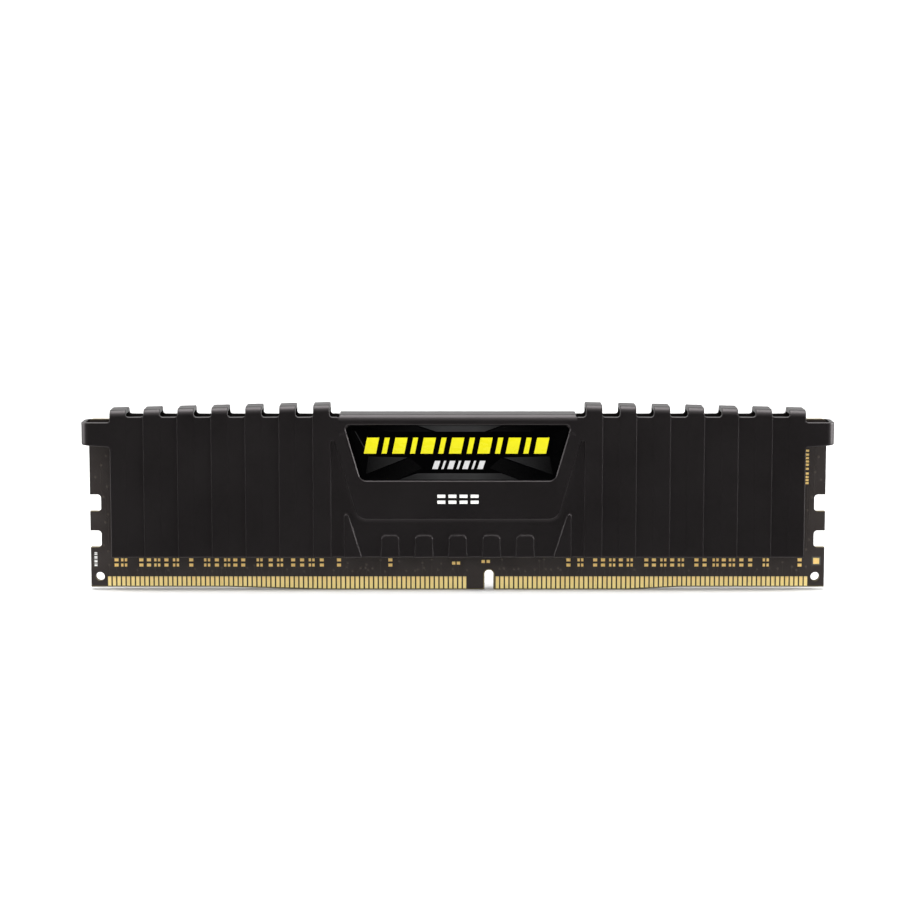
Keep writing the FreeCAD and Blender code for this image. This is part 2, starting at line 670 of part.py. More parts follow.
# ------------------------------------------------- small surface-mount parts
def chip_group(body_label, cap_label, places, length, width, height, upright):
    """Small chips with metal ends, as two groups of separate solids on the rear face."""
    cap = val("chip_cap")
    y0 = val("board_thickness") / 2
    cores, ends = [], []
    for x, z in places:
        if upright:
            cores.append(Part.makeBox(width, height, length - 2 * cap, Vector(x - width / 2, y0, z - length / 2 + cap)))
            ends.append(Part.makeBox(width, height, cap, Vector(x - width / 2, y0, z - length / 2)))
            ends.append(Part.makeBox(width, height, cap, Vector(x - width / 2, y0, z + length / 2 - cap)))
        else:
            cores.append(Part.makeBox(length - 2 * cap, height, width, Vector(x - length / 2 + cap, y0, z - width / 2)))
            ends.append(Part.makeBox(cap, height, width, Vector(x - length / 2, y0, z - width / 2)))
            ends.append(Part.makeBox(cap, height, width, Vector(x + length / 2 - cap, y0, z - width / 2)))
    for label, solids in ((body_label, cores), (cap_label, ends)):
        o = doc.addObject("Part::Feature", label)
        o.Shape = Part.makeCompound(solids)
        o.Label = label
        o.Placement = Placement()
        pieces.append(o)


places = []
for x in dram_x:
    for dx in (-2.4, 0.0, 2.4):
        places.append((x.value + dx, val("dram_level") + val("dram_height") / 2 + 0.9))
        places.append((x.value + dx, val("dram_level") - val("dram_height") / 2 - 0.9))
places += [(-2.2, val("spd_level") + 2.6), (2.2, val("spd_level") + 2.6), (-2.6, val("spd_level")), (2.6, val("spd_level"))]
chip_group("decoupling_capacitors", "capacitor_terminals", places,
           val("chip_length"), val("chip_width"), val("chip_height"), False)

# bare pads above the front contacts: singles and pairs, two rows
SINGLE = [-62.03, -57.53, -56.14, -52.97, -48.45, -43.79, -40.44, -39.0, -34.0, -29.92, -28.29, -24.7, -21.58,
          -12.23, 20.15, 25.01, 26.44, 29.69, 34.31, 35.7, 39.02, 43.43, 44.91, 48.41, 51.6, 53.2, 62.19]
PAIR = [(-61.0, -60.31), (-54.98, -54.29), (-51.57, -50.88), (-45.91, -45.21), (-42.27, -41.58),
        (-36.34, -35.67), (-32.64, -31.97), (-26.87, -26.22), (22.0, 22.66), (27.76, 28.46), (30.96, 31.66),
        (37.06, 37.76), (40.26, 40.96), (46.57, 47.27), (49.54, 50.24), (55.69, 56.39)]


def face_pad(x, z, width, height, thick=None):
    """Thin pad lying on the card's front face."""
    t = thick or val("plating")
    return Part.makeBox(width, t, height, Vector(x - width / 2, -val("board_thickness") / 2 - t, z - height / 2))


def pad_node(label, solids):
    o = doc.addObject("Part::Feature", label)
    o.Shape = Part.makeCompound(solids)
    o.Label = label
    o.Placement = Placement()
    pieces.append(o)


pads = []
for z in (val("pad_row_upper"), val("pad_row_lower")):
    for x in SINGLE:
        pads.append(face_pad(x, z, val("pad_single"), val("pad_height")))
    for a, b in PAIR:
        pads.append(face_pad(a, z, val("pad_pair"), val("pad_height")))
        pads.append(face_pad(b, z, val("pad_pair"), val("pad_height")))
for x, z in ((-0.72, 4.9), (0.14, 4.9), (4.65, 5.2), (5.57, 5.2)):
    pads.append(face_pad(x, z, 0.6, 0.55))
pad_node("test_pads_front", pads)
pad_node("edge_pads_front", [face_pad(val("column_x"), z, 0.55, 0.38)
                             for z in (25.5, 24.8, 24.15, 23.55, 22.95, 22.2, 21.35, 20.7, 20.15, 19.6)])
pad_node("fiducial_front", [face_pad(val("fiducial_x"), val("fiducial_z"), val("fiducial_size"), val("fiducial_size"))])

# line resistors stand on the rear face over the contacts
places = [(-x, val("pad_row_upper") - 0.47) for x in SINGLE]
for a, b in PAIR:
    places += [(-a, val("pad_row_upper") - 0.47), (-b, val("pad_row_upper") - 0.47)]
chip_group("line_resistors", "resistor_terminals", places,
           val("resistor_length"), val("resistor_width"), val("resistor_height"), True)

# ------------------------------------------------------------ check, write
doc.recompute()
bad = []
for o in doc.Objects:
    if "Invalid" in o.State or "Error" in o.State:
        bad.append("%s %s" % (o.Name, o.State))
for o in pieces:
    shape = o.Shape
    if shape.isNull() or not shape.isValid() or not shape.Solids:
        bad.append("%s has no valid shape" % o.Label)
if bad:
    raise RuntimeError("; ".join(bad))

os.makedirs("parts", exist_ok=True)
for o in pieces:
    box = o.Shape.BoundBox
    print("%-24s solids %4d  volume %9.2f  x %8.2f %8.2f  y %6.2f %6.2f  z %6.2f %6.2f" % (
        o.Label, len(o.Shape.Solids), o.Shape.Volume, box.XMin, box.XMax, box.YMin, box.YMax, box.ZMin, box.ZMax))
    o.Shape.exportStep("parts/%s.step" % o.Label)
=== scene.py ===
import bpy, math
import numpy as np
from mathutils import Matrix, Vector


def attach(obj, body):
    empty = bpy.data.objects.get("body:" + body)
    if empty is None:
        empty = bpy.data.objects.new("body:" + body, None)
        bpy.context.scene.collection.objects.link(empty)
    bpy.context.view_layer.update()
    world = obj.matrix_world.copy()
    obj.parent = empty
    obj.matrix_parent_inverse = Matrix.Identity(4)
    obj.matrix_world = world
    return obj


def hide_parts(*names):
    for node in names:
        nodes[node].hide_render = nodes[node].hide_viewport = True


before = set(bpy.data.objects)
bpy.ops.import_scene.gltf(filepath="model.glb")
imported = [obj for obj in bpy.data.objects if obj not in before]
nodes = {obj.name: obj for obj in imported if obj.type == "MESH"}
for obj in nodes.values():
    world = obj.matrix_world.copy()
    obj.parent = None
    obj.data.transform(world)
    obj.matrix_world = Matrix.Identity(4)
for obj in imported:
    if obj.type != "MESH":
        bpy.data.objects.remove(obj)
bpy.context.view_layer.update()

MM = 0.001
rng = np.random.default_rng(7)

# ------------------------------------------------------------------ measures
RAISED = 3.40          # outer face of panel and slats, from the card's mid-plane
SHEET = 0.8
RECESS = 0.4           # arcade under the panel
STEP = 0.25            # step at each slat's outer edge
BOTTOM, TOP = 6.36, 31.9
RIB0, RIBW, PITCH, EDGE = 23.05, 2.95, 6.1, 62.6
HOOK_R, LIP = 1.35, 0.1
BAR_HALF, BAR_TOP = 21.3, 32.3
TAB_LOW, TAB_HIGH, TAB_END, TAB_R = 26.45, 30.9, 67.85, 1.6
RIM = 0.16             # rounding of the sheet's outer rim
GAP_R = 0.5
FACE = 0.66            # card face from its mid-plane


# ----------------------------------------------------------------- materials
class Nodes:
    """Small helper that builds a node tree and keeps its principled shader."""

    def __init__(self, name):
        self.mat = bpy.data.materials.new(name)
        self.mat.use_nodes = True
        self.tree = self.mat.node_tree
        self.tree.nodes.clear()
        self.out = self.tree.nodes.new("ShaderNodeOutputMaterial")
        self.bsdf = self.tree.nodes.new("ShaderNodeBsdfPrincipled")
        self.link(self.bsdf.outputs["BSDF"], self.out.inputs["Surface"])
        self.coords = self.tree.nodes.new("ShaderNodeTexCoord")

    def link(self, a, b):
        self.tree.links.new(a, b)

    def set(self, **values):
        for key, value in values.items():
            self.bsdf.inputs[key.replace("_", " ")].default_value = value

    def noise(self, scale, detail=4.0, rough=0.55, stretch=None, source=None):
        n = self.tree.nodes.new("ShaderNodeTexNoise")
        n.inputs["Scale"].default_value = scale
        n.inputs["Detail"].default_value = detail
        n.inputs["Roughness"].default_value = rough
        src = source or self.coords.outputs["Object"]
        if stretch:
            m = self.tree.nodes.new("ShaderNodeMapping")
            m.inputs["Scale"].default_value = stretch
            self.link(src, m.inputs["Vector"])
            src = m.outputs["Vector"]
        self.link(src, n.inputs["Vector"])
        return n.outputs["Fac"]

    def voronoi(self, scale, feature="F1", stretch=None):
        n = self.tree.nodes.new("ShaderNodeTexVoronoi")
        n.feature = feature
        n.inputs["Scale"].default_value = scale
        src = self.coords.outputs["Object"]
        if stretch:
            m = self.tree.nodes.new("ShaderNodeMapping")
            m.inputs["Scale"].default_value = stretch
            self.link(src, m.inputs["Vector"])
            src = m.outputs["Vector"]
        self.link(src, n.inputs["Vector"])
        return n.outputs["Distance"]

    def ramp(self, fac, stops):
        n = self.tree.nodes.new("ShaderNodeValToRGB")
        els = n.color_ramp.elements
        while len(els) > 1:
            els.remove(els[-1])
        first = True
        for pos, col in stops:
            c = (col, col, col, 1.0) if isinstance(col, (int, float)) else tuple(col) + (1.0,)
            if first:
                els[0].position, els[0].color = pos, c
                first = False
            else:
                e = els.new(pos)
                e.color = c
        self.link(fac, n.inputs["Fac"])
        return n.outputs["Color"]

    def mix(self, fac, a, b, mode="MIX"):
        n = self.tree.nodes.new("ShaderNodeMix")
        n.data_type = "RGBA"
        n.blend_type = mode
        for value, key in ((fac, 0), (a, 6), (b, 7)):
            if isinstance(value, (int, float)):
                n.inputs[key].default_value = value if key == 0 else (value, value, value, 1)
            elif isinstance(value, tuple):
                n.inputs[key].default_value = value + (1.0,) if len(value) == 3 else value
            else:
                self.link(value, n.inputs[key])
        return n.outputs[2]

    def math(self, op, a, b=None, clamp=False):
        n = self.tree.nodes.new("ShaderNodeMath")
        n.operation = op
        n.use_clamp = clamp
        for i, v in enumerate((a, b)):
            if v is None:
                continue
            if isinstance(v, (int, float)):
                n.inputs[i].default_value = v
            else:
                self.link(v, n.inputs[i])
        return n.outputs[0]

    def range(self, value, a, b, c=0.0, d=1.0):
        n = self.tree.nodes.new("ShaderNodeMapRange")
        n.inputs["From Min"].default_value = a
        n.inputs["From Max"].default_value = b
        n.inputs["To Min"].default_value = c
        n.inputs["To Max"].default_value = d
        self.link(value, n.inputs["Value"])
        return n.outputs["Result"]

    def xyz(self, output="Object"):
        n = self.tree.nodes.new("ShaderNodeSeparateXYZ")
        self.link(self.coords.outputs[output], n.inputs["Vector"])
        return n.outputs["X"], n.outputs["Y"], n.outputs["Z"]

    def color(self, value):
        self.link(value, self.bsdf.inputs["Base Color"])

    def roughness(self, value):
        self.link(value, self.bsdf.inputs["Roughness"])

    def bump(self, height, distance, strength=1.0, previous=None):
        n = self.tree.nodes.new("ShaderNodeBump")
        n.inputs["Distance"].default_value = distance
        n.inputs["Strength"].default_value = strength
        self.link(height, n.inputs["Height"])
        if previous is not None:
            self.link(previous, n.inputs["Normal"])
        self.link(n.outputs["Normal"], self.bsdf.inputs["Normal"])
        return n.outputs["Normal"]


def spreader_material():
    """Black anodised aluminium: fine bead-blast grain and faint cloudiness."""
    m = Nodes("spreader_black")
    m.set(Metallic=0.0, Specular_IOR_Level=0.44, Specular_Tint=(1.0, 0.92, 0.94, 1.0))
    cloud = m.noise(90, 3, 0.5)
    fine = m.noise(5200, 2, 0.6)
    mottled = m.mix(cloud, (0.0028, 0.0022, 0.0024), (0.0042, 0.0034, 0.0036))
    m.color(m.mix(m.range(fine, 0.35, 0.7), mottled, (0.0052, 0.0043, 0.0045)))
    m.roughness(m.math("ADD", m.range(cloud, 0.3, 0.7, 0.36, 0.42), m.range(fine, 0.3, 0.7, -0.03, 0.04)))
    m.bump(fine, 0.000006, 0.5)
    return m.mat


def board_material():
    """Black solder mask over glass laminate; the cut sides show the bare olive laminate."""
    m = Nodes("board_mask")
    m.set(Specular_IOR_Level=0.42)
    geo = m.tree.nodes.new("ShaderNodeNewGeometry")
    sep = m.tree.nodes.new("ShaderNodeSeparateXYZ")
    m.link(geo.outputs["True Normal"], sep.inputs["Vector"])
    side = m.range(m.math("ABSOLUTE", sep.outputs["Y"]), 0.9, 0.8)
    x, y, z = m.xyz()
    cloud = m.noise(260, 3, 0.5)
    weave_x = m.math("SINE", m.math("MULTIPLY", x, 9000.0))
    weave_z = m.math("SINE", m.math("MULTIPLY", z, 9000.0))
    weave = m.math("MULTIPLY", weave_x, weave_z)
    mask = m.mix(cloud, (0.024, 0.0185, 0.0170), (0.035, 0.0280, 0.0255))
    mask = m.mix(m.range(weave, -1, 1, 0.0, 0.16), mask, (0.047, 0.038, 0.035))
    layers = m.math("SINE", m.math("MULTIPLY", y, 15000.0))
    grain = m.noise(1800, 3, 0.6)
    laminate = m.mix(grain, (0.115, 0.090, 0.040), (0.185, 0.150, 0.072))
    laminate = m.mix(m.range(layers, 0.75, 1.0), laminate, (0.070, 0.048, 0.024))
    m.color(m.mix(side, mask, laminate))
    m.roughness(m.mix(side, m.range(cloud, 0.3, 0.7, 0.34, 0.44), 0.75))
    m.bump(m.math("ADD", m.math("MULTIPLY", weave, 0.35), cloud), 0.000010, 0.35)
    return m.mat


def gold_material(name, lower):
    m = Nodes(name)
    m.set(Metallic=0.14)
    x, y, z = m.xyz()
    cell = m.tree.nodes.new("ShaderNodeTexWhiteNoise")
    cell.noise_dimensions = "1D"
    m.link(m.math("FLOOR", m.math("DIVIDE", m.math("ADD", x, 0.0637), 0.00085)), cell.inputs["W"])
    streak = m.noise(900, 4, 0.6, stretch=(3.0, 1.0, 0.25))
    wear = m.range(m.noise(420, 4, 0.6), 0.35, 0.7)
    gold = m.mix(cell.outputs["Value"], (0.90, 0.62, 0.215), (0.98, 0.73, 0.29))
    gold = m.mix(m.range(streak, 0.35, 0.7, 0.0, 0.5), gold, (1.0, 0.80, 0.38))
    gold = m.mix(m.math("MULTIPLY", wear, 0.2), gold, (0.72, 0.50, 0.22))
    # painted reflection and shade: the contacts brighten towards their bottom ends as if mirroring the bright floor,
    # and darken towards their top ends
    if lower:
        gold = m.mix(m.range(z, 0.0026, 0.0004, 0.0, 0.8), gold, (1.0, 0.86, 0.34))
        gold = m.mix(m.range(z, 0.0021, 0.0026, 0.0, 0.28), gold, (0.55, 0.38, 0.18))
    if not lower:
        gold = m.mix(0.5, gold, (0.86, 0.55, 0.14))
    m.color(gold)
    m.roughness(m.range(streak, 0.3, 0.7, 0.26, 0.42))
    m.bump(streak, 0.000008, 0.5)
    return m.mat


def gloss_material(name, low, high, rough=0.12, spec=0.5, span=None):
    """Printed gloss film with very slight colour drift and faint handling marks; for the badge's facet greys the colour
    is painted sheen and painted shade instead of print.

    With a span, the colour fades from high to low between two distances from the middle: a painted sheen, brightest at
    the middle.
    """
    m = Nodes(name)
    m.set(Specular_IOR_Level=spec)
    cloud = m.noise(160, 3, 0.5)
    smudge = m.noise(420, 5, 0.65, stretch=(1.0, 1.0, 2.4))
    # painted sheen: high colour in the middle, fading to the low colour outward
    if span:
        away = m.math("ABSOLUTE", m.xyz()[0], 0.0)
        fade = m.mix(m.range(away, span[0], span[1]), high, low)
        m.color(m.mix(m.range(cloud, 0.3, 0.7, 0.0, 0.18), fade, low))
    else:
        m.color(m.mix(cloud, low, high))
    m.roughness(m.range(smudge, 0.4, 0.7, rough, rough + 0.09))
    m.bump(m.noise(1500, 2, 0.5), 0.000004, 0.4)
    return m.mat


def matte_material(name, low, high, scale=800, rough=(0.5, 0.65), spec=0.4, bump=0.00001, metallic=0.0):
    m = Nodes(name)
    m.set(Specular_IOR_Level=spec, Metallic=metallic)
    grain = m.noise(scale, 5, 0.6)
    broad = m.noise(scale * 0.12, 3, 0.5)
    m.color(m.mix(m.mix(0.5, grain, broad), low, high))
    m.roughness(m.range(grain, 0.3, 0.7, rough[0], rough[1]))
    m.bump(grain, bump, 0.6)
    return m.mat


def foam_material(name, low, high):
    """Soft silicone pad: fine pores and a slightly waxy surface."""
    m = Nodes(name)
    m.set(Specular_IOR_Level=0.3)
    pores = m.voronoi(3200)
    cloud = m.noise(300, 4, 0.6)
    # painted shade in the pores: the colour darkens where the bump dents the surface
    m.color(m.mix(cloud, m.mix(m.range(pores, 0.0, 0.35), tuple(c * 0.6 for c in low), low), high))
    m.roughness(m.range(pores, 0.0, 0.5, 0.9, 0.62))
    m.bump(pores, 0.00003, 0.6)
    return m.mat


M = {
    "spreader": spreader_material(),
    "board": board_material(),
    "trace": matte_material("mask_over_copper", (0.034, 0.027, 0.024), (0.047, 0.038, 0.034), 900, (0.30, 0.40), 0.45),
    "via": matte_material("mask_over_via", (0.040, 0.031, 0.026), (0.058, 0.045, 0.037), 1500, (0.30, 0.42), 0.5),
    "gold": gold_material("gold_plate", True),
    "gold_pad": gold_material("gold_pad", False),
    "badge": gloss_material("badge_black", (0.0003, 0.0003, 0.0004), (0.0007, 0.0007, 0.0008), 0.14, 0.05),
    # the next three are the badge's facet greys: painted sheen, painted half shade and painted shade, each fading from
    # the middle
    "badge_painted_sheen": gloss_material("badge_painted_sheen", (0.0125, 0.0125, 0.0128), (0.0275, 0.0275, 0.0280), 0.18, 0.08, (0.0030, 0.0085)),
    "badge_painted_half_shade": gloss_material("badge_painted_half_shade_grey", (0.0020, 0.0020, 0.0021), (0.0190, 0.0190, 0.0193), 0.18, 0.04, (0.0092, 0.0172)),
    "badge_painted_shade": gloss_material("badge_painted_shade_grey", (0.0008, 0.0008, 0.0009), (0.0028, 0.0028, 0.0029), 0.16, 0.04, (0.0060, 0.0140)),
    "badge_yellow": gloss_material("badge_yellow", (0.66, 0.615, 0.004), (0.70, 0.655, 0.012), 0.25, 0.2),
    "badge_silver": matte_material("badge_silver", (0.52, 0.52, 0.52), (0.74, 0.74, 0.74), 1400, (0.3, 0.4), 0.5, 0.000004, 0.15),
    "ink": matte_material("white_ink", (0.90, 0.90, 0.88), (0.97, 0.97, 0.95), 1800, (0.5, 0.65), 0.4, 0.000004),
    "label": matte_material("label_film", (0.66, 0.66, 0.64), (0.76, 0.76, 0.74), 700, (0.38, 0.5), 0.45, 0.000004),
    "label_ink": matte_material("label_ink", (0.016, 0.016, 0.017), (0.028, 0.028, 0.030), 1100, (0.5, 0.6), 0.35, 0.000003),
    "epoxy": matte_material("package_epoxy", (0.010, 0.010, 0.011), (0.020, 0.020, 0.021), 2600, (0.5, 0.62), 0.4, 0.00001),
    "solder": matte_material("tin_solder", (0.48, 0.48, 0.47), (0.62, 0.62, 0.60), 1600, (0.28, 0.42), 0.5, 0.00001, 1.0),
    "capacitor": matte_material("capacitor_ceramic", (0.30, 0.20, 0.12), (0.42, 0.29, 0.18), 2200, (0.45, 0.6), 0.45),
    "resistor": matte_material("resistor_glaze", (0.010, 0.010, 0.012), (0.022, 0.022, 0.025), 1600, (0.25, 0.4), 0.5),
    "pad": foam_material("thermal_pad_grey", (0.16, 0.17, 0.19), (0.24, 0.25, 0.28)),
    "window": matte_material("bare_laminate", (0.060, 0.062, 0.056), (0.085, 0.088, 0.078), 1600, (0.45, 0.6), 0.4),
}


# ------------------------------------------------------------------- helpers
def put(name, verts, faces, material, replaces=(), smooth=38.0):
    """Mesh object from millimetre vertices, smooth except over sharp edges."""
    mesh = bpy.data.meshes.new(name)
    mesh.from_pydata([tuple(v) for v in np.asarray(verts) * MM], [], [tuple(int(i) for i in f) for f in faces])
    mesh.validate()
    mesh.update()
    mesh.materials.append(material)
    obj = bpy.data.objects.new(name, mesh)
    bpy.context.scene.collection.objects.link(obj)
    if smooth:
        mesh.shade_smooth()
        mesh.set_sharp_from_angle(angle=math.radians(smooth))
    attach(obj, "root")
    if replaces:
        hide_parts(*replaces)
    return obj


class Soup:
    """Gathers many small closed solids into one mesh."""

    def __init__(self):
        self.v, self.f = [], []

    def add(self, verts, faces):
        base = len(self.v)
        self.v += [tuple(p) for p in verts]
        self.f += [tuple(i + base for i in f) for f in faces]

    def block(self, x0, x1, z0, z1, y_back, y_front, inset):
        """Low bevelled plate: full size at y_back, inset at y_front, with softened corners."""
        def ring(y, k, c):
            a, b, e, g = x0 + k, x1 - k, z0 + k, z1 - k
            c = min(c, (b - a) * 0.45, (g - e) * 0.45)
            return [(a + c, y, e), (b - c, y, e), (b, y, e + c), (b, y, g - c),
                    (b - c, y, g), (a + c, y, g), (a, y, g - c), (a, y, e + c)]
        c = max(inset * 1.2, 0.03)
        mid = y_back + (y_front - y_back) * 0.45
        rings = [ring(y_back, 0.0, c), ring(mid, 0.0, c), ring(y_front + (y_back - y_front) * 0.12, inset * 0.5, c), ring(y_front, inset, c)]
        verts = [p for r in rings for p in r]
        faces = []
        for k in range(3):
            for i in range(8):
                j = (i + 1) % 8
                faces.append((k * 8 + i, k * 8 + j, (k + 1) * 8 + j, (k + 1) * 8 + i))
        faces.append(tuple(range(24, 32)))
        faces.append(tuple(reversed(range(0, 8))))
        if y_front > y_back:
            faces = [tuple(reversed(f)) for f in faces]
        self.add(verts, faces)

    def disc(self, x, z, r, y_back, y_front, n=14):
        ring = [(x + r * math.cos(2 * math.pi * i / n), z + r * math.sin(2 * math.pi * i / n)) for i in range(n)]
        top = [(x + 0.8 * r * math.cos(2 * math.pi * i / n), z + 0.8 * r * math.sin(2 * math.pi * i / n)) for i in range(n)]
        verts = [(a, y_back, b) for a, b in ring] + [(a, y_front, b) for a, b in top]
        faces = [(i, (i + 1) % n, n + (i + 1) % n, n + i) for i in range(n)]
        faces.append(tuple(range(n, 2 * n)))
        faces.append(tuple(reversed(range(n))))
        if y_front > y_back:
            faces = [tuple(reversed(f)) for f in faces]
        self.add(verts, faces)

    def ribbon(self, points, width, y_back, y_front):
        """Flat raised track along a list of (x, z) points."""
        pts = [np.array(p, float) for p in points]
        left, right = [], []
        for i, p in enumerate(pts):
            a = pts[max(i - 1, 0)]
            b = pts[min(i + 1, len(pts) - 1)]
            d0 = p - a if i else b - p
            d1 = b - p if i < len(pts) - 1 else p - a
            d0 = d0 / np.linalg.norm(d0)
            d1 = d1 / np.linalg.norm(d1)
            n0, n1 = np.array([-d0[1], d0[0]]), np.array([-d1[1], d1[0]])
            nn = n0 + n1
            nn = nn / np.linalg.norm(nn)
            k = (width / 2) / max(0.4, float(nn @ n0))
            left.append(p + nn * k)
            right.append(p - nn * k)
        n = len(pts)
        verts = []
        for y, s in ((y_back, 1.0), (y_front, 0.8)):
            for l, r in zip(left, right):
                m = (l + r) / 2
                a, b = m + (l - m) * s, m + (r - m) * s
                verts += [(a[0], y, a[1]), (b[0], y, b[1])]
        faces = []
        o = 2 * n
        for i in range(n - 1):
            a, b, c, d = 2 * i, 2 * i + 1, 2 * i + 3, 2 * i + 2
            faces += [(a, d, c, b), (o + a, o + b, o + c, o + d), (a, o + a, o + d, d), (b, c, o + c, o + b)]
        faces += [(0, 1, o + 1, o), (2 * n - 2, o + 2 * n - 2, o + 2 * n - 1, 2 * n - 1)]
        if y_front > y_back:
            faces = [tuple(reversed(f)) for f in faces]
        self.add(verts, faces)


def fix_normals(obj):
    """Turns every face outward."""
    import bmesh
    bm = bmesh.new()
    bm.from_mesh(obj.data)
    bmesh.ops.recalc_face_normals(bm, faces=bm.faces)
    bm.to_mesh(obj.data)
    bm.free()
    obj.data.update()


def sstep(t):
    t = np.clip(t, 0.0, 1.0)
    return t * t * (3 - 2 * t)


def rmax(a, b, r):
    """Rounded intersection of two half-plane distances."""
    aa, bb = a + r, b + r
    return np.minimum(np.maximum(aa, bb), 0) + np.hypot(np.maximum(aa, 0), np.maximum(bb, 0)) - r


# ------------------------------------------------------- heat spreader shell
FINS = [(RIB0 + PITCH * k, RIB0 + PITCH * k + RIBW) for k in range(7)]
GAPS = [(BAR_HALF, RIB0)] + [(FINS[k][1], FINS[k + 1][0]) for k in range(6)]


SLANT = 0.2916         # lean of the panel's sides
BADGE_LEAN = 0.2906


def fall(s):
    """Drop of the sheet at a distance outside a raised field: steep wall, then a long easy foot."""
    return 0.28 * sstep(s / 0.17) + 0.12 * (1 - (1 - np.clip(s / 0.95, 0, 1)) ** 2)


def relief(x, z):
    """Height of the stamped face over the raised level, x measured from the middle."""
    x = np.abs(x)
    h = np.zeros_like(x)
    for k in range(6):
        x0, x1 = FINS[k][1], FINS[k + 1][0]
        t = (x - x0) / (x1 - x0)
        h = np.where((t > 0) & (t < 1), -STEP * sstep((x - x0) / 0.15) * (1 - t), h)
    ca = 1 / math.hypot(1, SLANT)
    panel = rmax(13.5 - z, (x - 17.95 - SLANT * (z - 13.5)) * ca, 1.3)
    low = np.maximum(rmax(x - RIB0 + 0.1, z - 27.8, 0.38), -panel)
    for c in (0.0, PITCH, 2 * PITCH):
        flare = 0.16 * np.clip((8.6 - z) / 2.2, 0, 1)
        arch = rmax(np.abs(x - c) - 1.45 - flare, z - 10.3, 0.62)
        low = np.maximum(low, -arch)
    cw = 1 / math.hypot(1, 0.31)
    wedge = rmax(rmax(x - 20.42, z - 14.15, 0.26), (17.45 + 0.31 * (z - BOTTOM) - x) * cw, 0.26)
    low = np.maximum(low, -wedge)
    h = h - fall(np.maximum(-low, 0))
    cb = 1 / math.hypot(1, BADGE_LEAN)
    badge = rmax(rmax(20.35 - z, z - 30.5, 1.0), (x - 17.5 - BADGE_LEAN * (z - 20.35)) * cb, 1.0)
    return h - np.clip(1.2 * (0.13 - badge), 0, 0.32)


N_MID = 196


def middle_columns(z):
    """Columns from the middle to the first fin at a height: they crowd along the relief's edges."""
    z = min(z, 30.6)
    x = np.linspace(0, RIB0, 4601)
    w_arch = 1 - float(sstep((z - 11.4) / 5.0))
    w_wedge = 1 - float(sstep((z - 15.2) / 4.5))
    w_panel = float(sstep((z - 8.5) / 4.0)) * (1 - float(sstep((z - 28.3) / 1.0)))
    w_corner = float(sstep((z - 9.0) / 4.0)) * (1 - float(sstep((z - 15.2) / 4.5)))
    w_slat = 1 - float(sstep((z - 28.5) / 1.0))
    w_badge = float(sstep((z - 19.6) / 0.6))
    w_bar = float(sstep((z - 28.0) / 1.5))
    flare = 0.16 * min(max((8.6 - z) / 2.2, 0), 1)
    spots = [(c + sd * (1.45 + flare + 0.08), w_arch, sd) for c, sd in ((0, 1), (PITCH, -1), (PITCH, 1), (2 * PITCH, -1), (2 * PITCH, 1))]
    spots.append((min(17.45 + 0.31 * (z - BOTTOM), 20.2) - 0.08, w_wedge, -1))
    spots.append((20.50, w_wedge, 1))
    spots.append((min(17.95 + SLANT * (z - 13.5), 22.1) + 0.08, w_panel, 1))
    spots.append((RIB0 - 0.18, w_slat, -1))
    spots.append((17.5 + BADGE_LEAN * (z - 20.35), w_badge, 0))
    spots.append((BAR_HALF, w_bar, 0))
    spots.append((RIB0 - 0.15, w_bar, 0))
    rho = 1 / 0.5 + w_corner * 11 * np.exp(-((x - 17.4) / 0.95) ** 2)
    for c, w, sd in spots:
        rho += w * 22 * np.exp(-((x - c) / 0.13) ** 2)
        if sd:
            rho += w * 5 * np.exp(-((x - c - sd * 0.35) / 0.45) ** 2)
    cdf = np.concatenate([[0], np.cumsum((rho[1:] + rho[:-1]) / 2)])
    pos = np.interp(np.linspace(0, cdf[-1], N_MID), cdf, x)
    pos[0], pos[-1] = 0.0, RIB0
    return pos


def outer_columns():
    """Columns from the first fin's inner side outward, round the end tab, in the unrolled sheet."""
    u = []

    def more(values):
        u.extend(float(v) for v in values)
    rim = (0.0, 0.02, 0.05, 0.10, 0.16)
    for k, (a, b) in enumerate(FINS):
        more([a + r for r in rim])
        more([b - r for r in rim])
        more(np.linspace(a + 0.5, b - 0.5, 4))
        if k < 6:
            more([b + d for d in (0.03, 0.06, 0.09, 0.12, 0.15, 0.19, 0.26, 0.36, 0.5, 0.8, 1.3, 1.8, 2.3, 2.65, 2.79, 2.89, 2.97, 3.03, 3.08, 3.12)])
    more([EDGE + d for d in (0.03, 0.08, 0.15, 0.25, 0.4, 0.8, 1.6, 2.6, 3.4, TAB_END - TAB_R - EDGE)])
    arc0 = TAB_END - TAB_R
    more([arc0 + TAB_R * t for t in np.linspace(0, math.pi / 2, 15)[1:]])
    arc1 = arc0 + TAB_R * math.pi / 2
    end = arc1 + (RAISED - TAB_R - LIP)
    more(np.linspace(arc1, end - 0.16, 4)[1:])
    more([end - 0.10, end - 0.05, end - 0.02, end])
    u = sorted(u)
    keep = [u[0]]
    exact = [a for f in FINS for a in f] + [EDGE, arc0, end]
    for v in u[1:]:
        if v - keep[-1] > 0.012:
            keep.append(v)
        elif any(abs(v - e) < 1e-9 for e in exact) and not any(abs(keep[-1] - e) < 1e-9 for e in exact):
            keep[-1] = v
    return np.array(keep)


